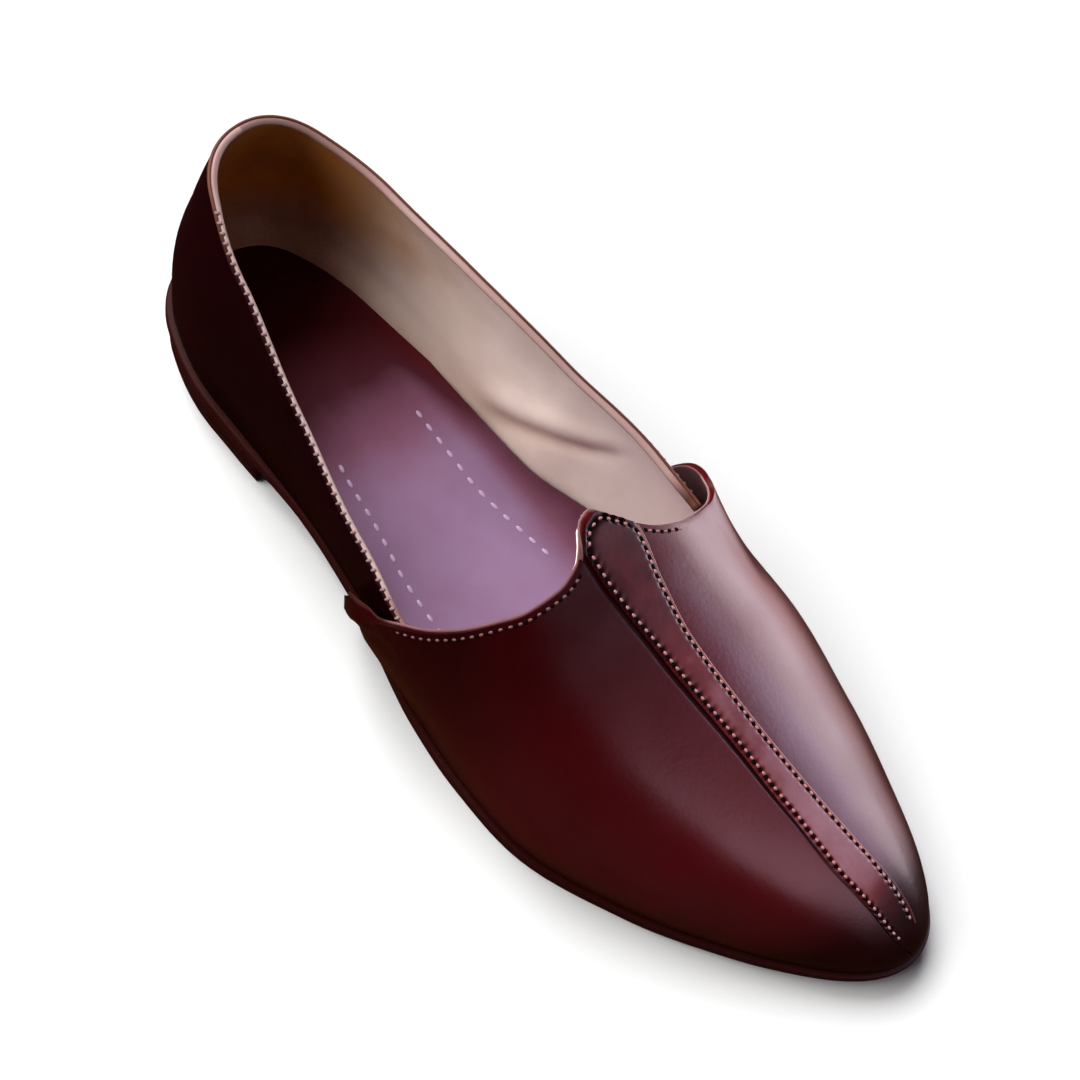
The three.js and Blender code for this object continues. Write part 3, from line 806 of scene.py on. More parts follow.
def roll_profile(inset, half_width, half_height):
    """An ellipse beside the path: its middle an inset towards the foot, its two half sizes in mm."""
    turn = np.linspace(0, 2 * np.pi, ROLL_SIDES + 1)
    return np.stack([half_width * np.cos(turn) - inset, half_height * np.sin(turn)], -1)


def with_ends(values):
    """A value for every ring of a carried profile, its two end points among them."""
    return np.concatenate([values[:1], values, values[-1:]])[:, None]


collar_side, collar_up = frame_along(collar_path, collar_out)
print("collar is", round(float(np.linalg.norm(np.diff(collar_path, axis=0), axis=1).sum())), "mm long")

# %% Binding and roll of the collar
HEEL_BEND = (4, 45)
BINDING_SHADE = {"plain": 0.75, "heel": 0.6, "inner": 0.42}
ROLL_SHADE = {"heel": 0.3, "inner": 0.26, "under_vamp": 0.6}
ROLL_SLIM = 0.28
SLIM_START = (4, 30)
UNDER_VAMP = {"right": (-8, 3), "left": (-9, 3)}
ring_x = with_ends(collar_x)
at_heel = 1 - smooth_step(*HEEL_BEND, ring_x)
inner_side = with_ends(np.where(collar_g > RIDGE_GIRTH, 1.0, 0.0))
binding_points = carry(collar_path, collar_side, collar_up,
                       roll_profile(inset=0.1, half_width=0.45, half_height=0.6))
binding_rub = BINDING_SHADE["heel"] * at_heel + BINDING_SHADE["inner"] * inner_side * (1 - at_heel)
add_piece("collar_binding", binding_points, grid_faces(binding_points.shape, flip=True), BINDING_LEATHER,
          ["upper"], "upper_leather",
          burnish=np.broadcast_to(BINDING_SHADE["plain"] - binding_rub, binding_points.shape[:2]))
roll_share = 1 - ROLL_SLIM * smooth_step(*SLIM_START, collar_x) * (collar_g < RIDGE_GIRTH)
roll_points = carry(collar_path, collar_side * roll_share[:, None], collar_up,
                    roll_profile(inset=1.5, half_width=1.05, half_height=0.7))
under = {side: smooth_step(*(EAR_X[side] + np.array(UNDER_VAMP[side])), ring_x) for side in UNDER_VAMP}
under_vamp = under["right"] * (1 - inner_side) + under["left"] * inner_side
roll_shade = ROLL_SHADE["heel"] * at_heel + ROLL_SHADE["inner"] * inner_side
roll_shade = roll_shade + ROLL_SHADE["under_vamp"] * under_vamp
add_piece("collar_edge", roll_points, grid_faces(roll_points.shape, flip=True), EDGE_LEATHER, ["upper"],
          "insole_leather", burnish=np.broadcast_to(roll_shade, roll_points.shape[:2]))

# %% [markdown]
# ## Vamp
# The vamp is cut in two halves that meet along the centre seam. The outer half stops a little before the
# strip, which leaves the dark furrow that the photograph shows. The inner half goes on under the strip.
# Both are grids from the rear edge to the toe, and both lift off the wall at the ears.

# %% Outer half of the vamp
VAMP_SKIN = 1.4
FURROW = 0.0045
TOE_GIRTH_MM = 30
VAMP_ALONG = 150
HALF_ROWS = 120
TAB_STATION = 150.0
STRIP_LAP = {"tab": 0.5, "strip": 1.3, "between": (152, 168)}
VAMP_SHADE = {
    "plain": 0.08, "low": 0.4, "low_band": 16, "throat_band": 75, "toe": 0.65, "toe_from": (250, 278),
}
# Beside the throat: painted shade on the outer half, painted light on the inner half.
THROAT_SHADE = {"outer": 0.6, "inner": -0.25}


def strip_left(x):
    """Girth of the strip's outer edge, which laps over the seam: less at the tab, more along the strip."""
    lap = mix(STRIP_LAP["tab"], STRIP_LAP["strip"], smooth_step(*STRIP_LAP["between"], x))
    return strip_seam(x) - lap / np.maximum(girth_mm(x, strip_seam(x)), TOE_GIRTH_MM)


def vamp_burnish(x, girth, points, at_throat):
    """Darker along the sole; painted shade over the toe's point; and beside the throat, painted shade on the
    outer half and painted light on the inner half.
    """
    low = 1 - smooth_step(0, VAMP_SHADE["low_band"], points[..., 2] - feather(x))
    rear = 1 - smooth_step(0, VAMP_SHADE["throat_band"], x - vamp_rear(girth))
    toe = smooth_step(*VAMP_SHADE["toe_from"], x)
    return VAMP_SHADE["plain"] + VAMP_SHADE["low"] * low + at_throat * rear + VAMP_SHADE["toe"] * toe


def half_grid(girth_from, girth_to, along, rows):
    """Station and girth of half a vamp. girth_from and girth_to give its edges at a station; at the rear
    edge the girths are those beside the tab, and they follow the edges on the way to the toe."""
    v = np.linspace(0, 1, rows)[None, :]
    u = np.linspace(0, 1, along)[:, None]
    start = mix(girth_from(TAB_STATION), girth_to(TAB_STATION), v)
    rear = vamp_edge(start)
    x = station_x(mix(station(rear), 1, u))
    slide = mix(girth_from(x) - girth_from(rear), girth_to(x) - girth_to(rear), v)
    return x, start + slide


def nothing(x):
    """The bottom of the outer side, at every station."""
    return np.zeros(np.shape(x))


def whole(x):
    """The bottom of the inner side, at every station."""
    return np.ones(np.shape(x))


def furrow_edge(x):
    """The edge of the outer half, a little before the strip."""
    return strip_left(x) - FURROW


outer_x, outer_girth = half_grid(nothing, furrow_edge, VAMP_ALONG, HALF_ROWS)
outer_height = VAMP_TOP + ear_flare(outer_x, outer_girth) - ear_crease(outer_x, outer_girth)
outer_points = layer(outer_x, outer_girth, outer_height)
vamp_outer = add_piece("vamp_outer_half", outer_points, grid_faces(outer_x.shape), VAMP_LEATHER, ["vamp"],
                       "upper_leather",
                       burnish=vamp_burnish(outer_x, outer_girth, outer_points, THROAT_SHADE["outer"]))
thicken(vamp_outer, VAMP_SKIN, rounding=0.4)

# %% Inner half of the vamp
UNDERLAP = 0.04
UNDERLAP_ROWS = 20
UNDERLAP_INSET = 1.4
FURROW_DEPTH = 0.9
FURROW_SLOPE = 0.012


def underlap_edge(x):
    """The edge of the inner half, hidden under the outer half."""
    return strip_seam(x) - UNDERLAP


inner_x, inner_girth = half_grid(underlap_edge, whole, VAMP_ALONG, HALF_ROWS + UNDERLAP_ROWS)
under_strip = 1 - smooth_step(0.0, FURROW_SLOPE, inner_girth - strip_left(inner_x))
inner_x = np.minimum(inner_x + UNDERLAP_INSET * under_strip, LAST_LENGTH)
inner_height = VAMP_TOP + ear_flare(inner_x, inner_girth) - FURROW_DEPTH * under_strip
inner_points = layer(inner_x, inner_girth, inner_height)
inner_shade = vamp_burnish(inner_x, inner_girth, inner_points, THROAT_SHADE["inner"])
# Under the strip the inner half takes the darkest tone: painted shade on the furrow's floor.
vamp_inner = add_piece("vamp_inner_half", inner_points, grid_faces(inner_x.shape), VAMP_LEATHER, ["vamp"],
                       "upper_leather", burnish=np.maximum(inner_shade, under_strip))
thicken(vamp_inner, VAMP_SKIN, rounding=0.4)

# %% [markdown]
# ## Strip and tab
# The strip is a narrow band of leather, folded at both edges and sewn down by two rows. It starts as the
# tab and runs to the toe. Its grid is fine enough to hold the small dimples that the needle pulls, so the
# holes of both rows are worked out first, a stitch apart along the strip's own edges.

# %% Strip and its dimples
STRIP_TOP = 3.05
STRIP_SKIN = 1.25
STRIP_TOE = 282.0
EDGE_PULL = {"depth": 0.85, "width": 0.6}
TOE_SINK = {"level_from": 258, "below_from": 272, "below": 0.1}
STITCH = 2.6
HOLE_RADIUS = 0.7
HOLE_DEPTH = 0.55


def strip_girth(x, v):
    """Girth at a share v of the way across the strip."""
    return mix(strip_left(x), strip_edge(x), v)


def strip_height(x, v):
    """Top of the strip: level across, rounded down at both edges where the sewing pulls it, and sinking
    into the vamp at the toe."""
    from_edge = np.minimum(v, 1 - v) * strip_width(x)
    pull = EDGE_PULL["depth"] * bell(from_edge, EDGE_PULL["width"])
    level = (STRIP_TOP - pull - VAMP_TOP) * (1 - smooth_step(TOE_SINK["level_from"], STRIP_TOE, x))
    return VAMP_TOP + level - TOE_SINK["below"] * smooth_step(TOE_SINK["below_from"], STRIP_TOE, x)


def strip_width(x):
    """Width of the strip in mm: its share of the girth times the millimetres in one girth."""
    return (strip_edge(x) - strip_left(x)) * girth_mm(x, (strip_edge(x) + strip_left(x)) / 2)


def even_run(path, pitch, start=0.5):
    """Places a pitch apart along a path, as running indices into it, found on the path's running length."""
    run = np.concatenate([[0], np.cumsum(np.linalg.norm(np.diff(path, axis=0), axis=1))])
    count = int(run[-1] / pitch - start)
    return np.interp((np.arange(count) + start) * pitch, run, np.arange(len(run)))


def at_index(values, index):
    """Values of an array at running indices, by straight interpolation in each column."""
    values = np.asarray(values)
    low = np.clip(np.floor(index).astype(int), 0, len(values) - 2)
    share = (index - low).reshape(-1, *[1] * (values.ndim - 1))
    return mix(values[low], values[low + 1], share)


ROW_STEPS = 900
ROW_START = {"left": 154.2, "right": 156.6}
ROW_TOE = 280.5
LEFT_INSET = 1.15
RIGHT_INSET = {"tab": 2.0, "strip": 1.35, "between": (160, 190)}
TAB_ROW = {"from": 0.1, "to": 0.93, "inset": 1.9}
TAB_X = STRIP["x"][0]
row_x = np.linspace(0, 1, ROW_STEPS)
left_x = mix(ROW_START["left"], ROW_TOE, row_x)
right_x = mix(ROW_START["right"], ROW_TOE, row_x)
right_inset = mix(RIGHT_INSET["tab"], RIGHT_INSET["strip"], smooth_step(*RIGHT_INSET["between"], right_x))
left_v = LEFT_INSET / strip_width(left_x)
right_v = 1 - right_inset / strip_width(right_x)
tab_v = mix(TAB_ROW["from"], TAB_ROW["to"], row_x)
tab_x = throat_x(strip_girth(TAB_X, tab_v)) + TAB_ROW["inset"]
strip_rows = [(left_x, left_v), (right_x, right_v), (tab_x, tab_v)]


def strip_path(x, v):
    """Points of the strip's top along a row."""
    return layer(x, strip_girth(x, v), strip_height(x, v))


hole_x = np.concatenate([at_index(x, even_run(strip_path(x, v), STITCH, 0.0)) for x, v in strip_rows])
hole_v = np.concatenate([at_index(v, even_run(strip_path(x, v), STITCH, 0.0)) for x, v in strip_rows])
print(len(hole_x), "needle holes on the strip")

# %% Strip surface
STRIP_ALONG = 380
STRIP_ACROSS = 27
TAB_INSET = 0.2
# Painted shade: tab, both edges, dimples and toe end. Painted sheen: the lighter run towards the toe.
STRIP_SHADE = {"tab": 0.42, "rubbed": 0.08, "toe": 0.7, "edges": 0.12, "holes": 0.9}
STRIP_SPAN = {"tab": (150, 232), "rubbed": (212, 248), "toe": (258, 276)}
strip_v = np.broadcast_to(np.linspace(0, 1, STRIP_ACROSS), (STRIP_ALONG, STRIP_ACROSS))
tab_edge = throat_x(strip_girth(TAB_X, strip_v[0]))
strip_x = mix(tab_edge[None, :] + TAB_INSET, STRIP_TOE, np.linspace(0, 1, STRIP_ALONG)[:, None])
off_along = (strip_x.reshape(-1, 1) - hole_x) / HOLE_RADIUS
off_across = (strip_v.reshape(-1, 1) - hole_v) * strip_width(hole_x) / HOLE_RADIUS
dimple = np.exp(-(off_along**2) - off_across**2).sum(1).reshape(strip_x.shape)
strip_level = strip_height(strip_x, strip_v) - HOLE_DEPTH * dimple
strip_points = layer(strip_x, strip_girth(strip_x, strip_v), strip_level)
strip_shade = STRIP_SHADE["tab"] * (1 - smooth_step(*STRIP_SPAN["tab"], strip_x))
strip_shade = strip_shade - STRIP_SHADE["rubbed"] * smooth_step(*STRIP_SPAN["rubbed"], strip_x)
strip_shade = strip_shade + STRIP_SHADE["toe"] * smooth_step(*STRIP_SPAN["toe"], strip_x)
strip_shade = strip_shade + STRIP_SHADE["edges"] * (2 * strip_v - 1) ** 2
strip_shade = strip_shade + STRIP_SHADE["holes"] * np.clip(dimple, 0, 1)
strip = add_piece("vamp_strip_leather", strip_points, grid_faces(strip_x.shape), STRIP_LEATHER,
                  ["vamp_strip"], "strip_leather", burnish=strip_shade)
thicken(strip, STRIP_SKIN, rounding=0.35)
print("strip is", round(float(strip_width(200.0)), 1), "mm wide at the ball")

# %% [markdown]
# The strip's inner edge is folded under, and the fold is drawn pale as a painted highlight. A bevel would
# round the edge but not make it stand up, so a thin round profile is carried along the edge as a bead.

# %% Folded edge of the strip
FOLDED_EDGE = {"from": 156.0, "to": 279.0, "steps": 420, "dark_from": (250, 272)}
piping_x = np.linspace(FOLDED_EDGE["from"], FOLDED_EDGE["to"], FOLDED_EDGE["steps"])
piping_girth = strip_edge(piping_x)
piping_path = layer(piping_x, piping_girth, strip_height(piping_x, np.ones(piping_x.shape)))
piping_up, piping_side = frame_along(piping_path, outward(piping_x, piping_girth))
piping_points = carry(piping_path, piping_side, piping_up,
                      roll_profile(inset=0.0, half_width=0.32, half_height=0.3))
# Painted shade towards the toe, as on the strip.
piping_shade = smooth_step(*FOLDED_EDGE["dark_from"], with_ends(piping_x))
add_piece("strip_folded_edge", piping_points, grid_faces(piping_points.shape), PIPING_LEATHER, ["vamp_strip"],
          "strip_leather", burnish=np.broadcast_to(piping_shade, piping_points.shape[:2]))

# %% [markdown]
# ## Facing of the throat
# A thin band of the pale lining leather backs the rear edge of the vamp and shows as a light line along the
# scallops and round the ears. It follows the vamp's own underside and stands out a little beyond its edge.

# %% Facing
FACING_SKIN = 0.6
FACING_WIDTH = 9
FACING_PROUD = 0.45
FACING_GRID = (12, 360)
TAB_GIRTH = 0.49
BETWEEN_EARS = {"right": (0.08, 0.11), "left": (0.775, 0.8)}
# Painted shade on the facing, more on the outer side and most round the ears.
FACING_SHADE = {"outer": (0.4, 0.7), "inner": (0.2, 0.25)}
facing_share = np.linspace(0, 1, FACING_GRID[0])[:, None]
facing_girth = np.broadcast_to(np.linspace(0, 1, FACING_GRID[1]), FACING_GRID)
facing_x = vamp_edge(facing_girth) + FACING_WIDTH * facing_share
facing_height = VAMP_TOP - VAMP_SKIN + ear_flare(facing_x, facing_girth) - ear_crease(facing_x, facing_girth)
facing_x = facing_x - FACING_PROUD * (1 - facing_share)
facing_points = layer(facing_x, facing_girth, facing_height)
facing_middle = smooth_step(*BETWEEN_EARS["right"], facing_girth)
facing_middle = facing_middle * (1 - smooth_step(*BETWEEN_EARS["left"], facing_girth))
facing_shades = {side: plain + ear * (1 - facing_middle) for side, (plain, ear) in FACING_SHADE.items()}
facing = add_piece("throat_facing", facing_points, grid_faces(facing_x.shape), FACING_LEATHER, ["vamp"],
                   "insole_leather",
                   burnish=np.where(facing_girth < TAB_GIRTH, facing_shades["outer"], facing_shades["inner"]))
thicken(facing, FACING_SKIN, rounding=0.2)

# %% [markdown]
# ## Stitches
# A stitch is a short length of waxed thread that dips into a needle hole at each end. Modelling each as a
# curve would be slow, so one small pellet of a few dozen faces is repeated along each row as arrays,
# stretched along the thread, and all the stitches of a row make one mesh.

# %% Stitch helper
PELLET_AROUND = 8
PELLET_ALONG = 5
around = np.linspace(0, 2 * np.pi, PELLET_AROUND + 1)[None, :]
polar = np.linspace(0, np.pi, PELLET_ALONG + 1)[:, None]
pellet = np.stack([np.broadcast_to(-np.cos(polar), (PELLET_ALONG + 1, PELLET_AROUND + 1)),
                   np.sin(polar) * np.cos(around), np.sin(polar) * np.sin(around)], -1)
pellet_faces = grid_faces(pellet.shape, flip=True)
pellet = pellet.reshape(-1, 3)


def pellets(centre, ahead, out, size):
    """Copies of the pellet, one at each centre: x along the thread, y across it and z outwards, in mm."""
    across = np.cross(out, ahead)
    local = pellet * np.asarray(size) / 2
    points = (centre[:, None] + local[None, :, :1] * ahead[:, None] + local[None, :, 1:2] * across[:, None]
              + local[None, :, 2:] * out[:, None])
    faces = pellet_faces[None] + (np.arange(len(centre)) * len(pellet))[:, None, None]
    return points.reshape(-1, 3), faces.reshape(-1, 4)


def join(parts):
    """Several (points, faces) as one."""
    starts = np.cumsum([0] + [len(points) for points, _ in parts[:-1]])
    faces = [faces + start for (_, faces), start in zip(parts, starts)]
    return np.concatenate([points for points, _ in parts]), np.concatenate(faces)


def row_places(path, out, pitch, start):
    """Centre, direction and outward normal of a row of stitches a pitch apart."""
    index = even_run(path, pitch, start)
    ahead = unit(at_index(np.gradient(path, axis=0), index))
    normal = unit(at_index(out, index))
    normal = unit(normal - (normal * ahead).sum(-1, keepdims=True) * ahead)
    return at_index(path, index), ahead, normal


print("a stitch has", len(pellet_faces), "faces")

# %% Stitches of the strip and the throat
THREAD_SIZE = (1.25, 0.85, 0.6)
HOLE_SIZE = (1.4, 1.3, 0.5)
TAB_CUT_SIZE = (2.4, 1.0, 0.5)
TAB_CUT = {"from": 0.4, "to": 0.96, "inset": 0.75}
STRIP_SEWING = {"thread_lift": 0.02, "hole_lift": -0.3, "shade": 0.0}
SCALLOPS = {
    "outer": {"girth": (0.105, 0.479), "steps": 600, "inset": 1.35, "shade": 0.6},
    "inner": {"girth": (0.55, 0.63), "steps": 300, "inset": 1.8, "shade": 0.3},
}
SCALLOP_SEWING = {"thread_lift": 0.05, "hole_lift": -0.05}
threads = []
thread_shade = []
holes = []


def sew(path, out, thread_lift, hole_lift, shade):
    """Adds a row: a thread in the middle of each pitch and, at its ends, dark pellets of painted shade in the
    holes, lifted outwards in mm.
    """
    centre, ahead, normal = row_places(path, out, STITCH, 0.5)
    threads.append(pellets(centre + thread_lift * normal, ahead, normal, THREAD_SIZE))
    thread_shade.append(np.full(len(threads[-1][0]), shade))
    centre, ahead, normal = row_places(path, out, STITCH, 0.0)
    holes.append(pellets(centre + hole_lift * normal, ahead, normal, HOLE_SIZE))


for x, v in strip_rows:
    sew(strip_path(x, v), outward(x, strip_girth(x, v)), **STRIP_SEWING)
tab_cut_v = mix(TAB_CUT["from"], TAB_CUT["to"], row_x)
tab_cut_x = throat_x(strip_girth(TAB_X, tab_cut_v)) + TAB_CUT["inset"]
tab_cut_out = outward(tab_cut_x, strip_girth(tab_cut_x, tab_cut_v))
centre, ahead, normal = row_places(strip_path(tab_cut_x, tab_cut_v), tab_cut_out, STITCH, 0.5)
# Dark pellets of painted shade along the tab's cut edge.
holes.append(pellets(centre, ahead, normal, TAB_CUT_SIZE))
for scallop in SCALLOPS.values():
    girth = np.linspace(*scallop["girth"], scallop["steps"])
    x = vamp_rear(girth) + scallop["inset"]
    path = layer(x, girth, VAMP_TOP + ear_flare(x, girth))
    sew(path, outward(x, girth), shade=scallop["shade"], **SCALLOP_SEWING)
thread_points, thread_faces = join(threads)
hole_points, hole_faces = join(holes)
add_piece("vamp_stitches", thread_points, thread_faces, THREAD, ["vamp_strip"], "strip_leather",
          burnish=np.concatenate(thread_shade))
add_piece("vamp_needle_holes", hole_points, hole_faces, NEEDLE_HOLE_SHADE, ["vamp_strip"], "strip_leather")

# %% [markdown]
# Whip stitches hold the collar's fold: short slanted threads, over the top on the outer side and low on the
# outer face on the inner side. They are the same pellets, turned by a slant.

# %% Whip stitches of the collar
WHIP_PITCH = 2.8
WHIP_SLANT = math.radians(72)
WHIP_SIZE = (1.5, 1.0, 0.4)
WHIP_START = 16
WHIP_ROWS = {
    "outer": {"inset": 0.3, "rise": 0.6, "lean": 0.5},
    "inner": {"inset": -0.3, "rise": -0.45, "lean": 3.0},
}
whip_sides = {"outer": collar_g < RIDGE_GIRTH, "inner": collar_g > RIDGE_GIRTH}
whips = []
for side, row in WHIP_ROWS.items():
    mine = whip_sides[side] & (collar_x > WHIP_START)
    path = (collar_path - row["inset"] * collar_side + row["rise"] * collar_up)[mine]
    centre, ahead, normal = row_places(path, (collar_up + row["lean"] * collar_side)[mine], WHIP_PITCH, 0.5)
    across = np.cross(normal, ahead)
    along = np.cos(WHIP_SLANT) * ahead + np.sin(WHIP_SLANT) * across
    whips.append(pellets(centre, along, normal, WHIP_SIZE))
whip_points, whip_faces = join(whips)
add_piece("collar_stitches", whip_points, whip_faces, COLLAR_THREAD, ["upper"], "strip_leather")

# %% [markdown]
# ## Sock
# The sock is the leather that the foot stands on. It is a plate inside the feather edge, turned up a little
# where it meets the wall, with two rows of pale stitches that run towards the toe.

# %% Sock
SOCK_INSET = 2.4
SOCK_THICKNESS = 2.4
SOCK_CURL = 0.9
SOCK_CURL_POWER = 8
SOCK_ALONG = 170
SOCK_ACROSS = 61
# Painted shade: at the heel, together with wear, and along the far edge beside the lining.
SOCK_SHADE = {"heel": 0.92, "heel_fade": (24, 104), "far_edge": 0.42}
FAR_EDGE = {"rear": 0.82, "front": 0.66, "between": (108, 138)}
sock_share = np.linspace(0, 1, SOCK_ALONG)
sock_right = sole_outline(sock_share, -1, np.full(SOCK_ALONG, -SOCK_INSET))
sock_left = sole_outline(sock_share, 1, np.full(SOCK_ALONG, -SOCK_INSET))
sock_v = np.linspace(0, 1, SOCK_ACROSS)[None, :, None]
sock_plan = mix(sock_right[:, None], sock_left[:, None], sock_v)
sock_side = np.abs(2 * sock_v[..., 0] - 1)


def sock_top(x, side):
    """Top of the sock: level across, turned up with the eighth power of the way to its edge."""
    return feather(x) + SOCK_THICKNESS + SOCK_CURL * side**SOCK_CURL_POWER


sock_points = np.concatenate([sock_plan, sock_top(sock_plan[..., 0], sock_side)[..., None]], -1)
sock_x = sock_plan[..., 0]
far_start = mix(FAR_EDGE["rear"], FAR_EDGE["front"], smooth_step(*FAR_EDGE["between"], sock_x))
far_edge = smooth_step(far_start, 1, sock_v[..., 0])
sock_shade = SOCK_SHADE["heel"] * (1 - smooth_step(*SOCK_SHADE["heel_fade"], sock_x))
sock = add_piece("sock", sock_points, grid_faces(sock_points.shape), SOCK_LEATHER, ["insole"],
                 "insole_leather", burnish=sock_shade + SOCK_SHADE["far_edge"] * far_edge)
thicken(sock, SOCK_THICKNESS, rounding=0.4)

# %% Stitches of the sock
SOCK_STITCH = 5.0
SOCK_STITCH_SIZE = (2.8, 1.3, 0.5)
SOCK_ROW_STEPS = 300
SOCK_ROWS = {
    "x": [78, 88, 98, 106, 116, 128, 140],
    "right": [-0.5, -0.555, -0.58, -0.61, -0.65, -0.64, -0.63],
    "left": [0.53, 0.51, 0.49, 0.475, 0.48, 0.47, 0.46],
}
sock_threads = []
for side in ("right", "left"):
    x = np.linspace(SOCK_ROWS["x"][0], SOCK_ROWS["x"][-1], SOCK_ROW_STEPS)
    reach = smooth_column(SOCK_ROWS, side)(x)
    y = swing(x) + reach * (half(x) - SOCK_INSET)
    path = np.stack([x, y, sock_top(x, np.abs(reach))], -1)
    up = np.broadcast_to(np.array([0.0, 0, 1]), path.shape)
    centre, ahead, normal = row_places(path, up, SOCK_STITCH, 0.5)
    sock_threads.append(pellets(centre, ahead, normal, SOCK_STITCH_SIZE))
sock_thread_points, sock_thread_faces = join(sock_threads)
add_piece("sock_stitches", sock_thread_points, sock_thread_faces, SOCK_THREAD, ["insole"], "insole_leather")

# %% [markdown]
# ## Outsole and heel
# The outsole is a leather plate with a waist under the arch and a toe that lifts off the floor. Its edge is
# inked and rounded, with a fine groove. One grid goes round the outline and, in its second direction, from
# the centre line over the top, down the edge and back under the sole, so that the plate is closed by
# itself.

# %% Outsole
EDGE_PROFILE = {
    "inset": [0.9, 0.35, 0.08, 0, 0, 0.12, 0.3, 0.12, 0, 0, 0.08, 0.35, 0.9],
    "drop": [0, 0.12, 0.4, 0.8, 1.25, 1.4, 1.5, 1.6, 1.75, 3.4, 3.8, 4.08, 4.2],
}
SOLE_STEPS = 150
PLATE_SHARES = (0.0, 0.35, 0.7, 0.92)
SOLE_SHADE = 0.2
sole_share = np.concatenate([np.linspace(0, 1, SOLE_STEPS), np.linspace(1, 0, SOLE_STEPS)[1:]])
sole_side = np.concatenate([-np.ones(SOLE_STEPS), np.ones(SOLE_STEPS - 1)])
sole_x = station_x(sole_share)
centre_line = np.stack([sole_x, swing(sole_x)], -1)


def outline_ring(inset):
    """The outsole's outline, moved in by an inset, all the way round."""
    margin = sole_edge(sole_x) - inset
    right = sole_outline(sole_share, -1, margin)
    left = sole_outline(sole_share, 1, margin)
    return np.where(sole_side[:, None] < 0, right, left)


def sole_ring(plan, drop):
    """A ring of the outsole at a drop below its top."""
    return np.concatenate([plan, (sole_line(plan[:, 0]) + SOLE_THICKNESS - drop)[:, None]], -1)


plate_edge = outline_ring(EDGE_PROFILE["inset"][0])
inner_rings = [mix(centre_line, plate_edge, share) for share in PLATE_SHARES]
edge_rings = [sole_ring(outline_ring(inset), drop) for inset, drop in zip(*EDGE_PROFILE.values())]
rings = [sole_ring(plan, 0.0) for plan in inner_rings] + edge_rings
rings += [sole_ring(plan, SOLE_THICKNESS) for plan in inner_rings[::-1]]
sole_points = np.stack(rings, axis=1)
add_piece("sole_plate", sole_points, grid_faces(sole_points.shape, flip=True), SOLE_LEATHER, ["outsole"],
          "sole_leather", burnish=np.full(sole_points.shape[:2], SOLE_SHADE))

# %% [markdown]
# The heel is a low stack of leather lifts, cut straight in front with a slightly hollow breast. Its outline
# follows the outsole, and a profile with two fine grooves, carried round that outline, shows the lifts.

# %% Heel
HEEL_LENGTH = 63
HEEL_INSET = 1.4
HEEL_BREAST_HOLLOW = 3
HEEL_PROFILE = {
    "inset": [1.0, 0.3, 0.0, 0.0, 0.25, 0.25, 0.0, 0.0, 0.25, 0.25, 0.0, 0.0, 0.3, 0.9],
    "share": [1.0, 0.985, 0.95, 0.69, 0.675, 0.655, 0.64, 0.36, 0.345, 0.325, 0.31, 0.06, 0.02, 0.0],
}
HEEL_STEPS = 60
BREAST_STEPS = 30
HEEL_GAP = 0.05
HEEL_SHADE = 0.3
heel_share = np.linspace(float(station(HEEL_LENGTH)), 0, HEEL_STEPS)
heel_margin = sole_edge(station_x(heel_share)) - HEEL_INSET
heel_left = sole_outline(heel_share, 1, heel_margin)
heel_right = sole_outline(heel_share, -1, heel_margin)[::-1]
breast_v = np.linspace(0, 1, BREAST_STEPS)[1:]
breast = mix(heel_right[-1], heel_left[0], breast_v[:, None])
breast[:, 0] -= HEEL_BREAST_HOLLOW * (1 - (2 * breast_v - 1) ** 2)
heel_plan = np.concatenate([heel_left, heel_right[1:], breast])
heel_middle = heel_plan.mean(0)
heel_reach = np.linalg.norm(heel_plan - heel_middle, axis=1, keepdims=True)


def heel_ring(inset, share):
    """The heel's outline drawn in towards its middle, at a share of the way from the floor to the sole."""
    plan = heel_middle + (heel_plan - heel_middle) * (1 - inset / heel_reach)
    return np.concatenate([plan, (share * (sole_line(plan[:, 0]) - HEEL_GAP))[:, None]], -1)


heel_rings = [heel_ring(inset, share) for inset, share in zip(*HEEL_PROFILE.values())]
heel_top = heel_ring(heel_reach, 1.0)
heel_bottom = heel_ring(heel_reach, 0.0)
heel_points = np.stack([heel_top] + heel_rings + [heel_bottom], axis=1)
add_piece("heel_block", heel_points, grid_faces(heel_points.shape, flip=True), SOLE_LEATHER, ["heel"],
          "sole_leather", burnish=np.full(heel_points.shape[:2], HEEL_SHADE))

# %% [markdown]
# ## Floor, light and camera
# The shoe stands on plain pale paper that rises in a wide curve at the back, as in a studio. A corner would
# show as a line behind the shoe, so one profile is turned round the middle. The leather does not mirror the
# paper.

# %% Paper finishes
PAPER_GRAIN_MM = 3.0        # real paper grain is finer; drawn coarser, so that it shows
PAPER_STRENGTH = 0.05
PAPER_DEPTH = 0.0002
PAPER_ROUGHNESS = 0.8
WALL_GLOW = 1.0
# Matt paper, pale grey, which full light turns white.
floor_material, floor_tree = new_material("pale_paper_floor")
floor_place = add_node(floor_tree, "ShaderNodeTexCoord", {}).outputs["Object"]
floor_grain = add_node(floor_tree, "ShaderNodeTexNoise", {
    "Vector": floor_place, "Scale": per_metre(PAPER_GRAIN_MM)})
floor_bump = add_node(floor_tree, "ShaderNodeBump", {
    "Height": floor_grain.outputs["Fac"], "Strength": PAPER_STRENGTH, "Distance": PAPER_DEPTH})
close_material(floor_tree, {
    "Base Color": hex_colour("#c6cacd"), "Roughness": PAPER_ROUGHNESS,
    "Normal": floor_bump.outputs["Normal"]})
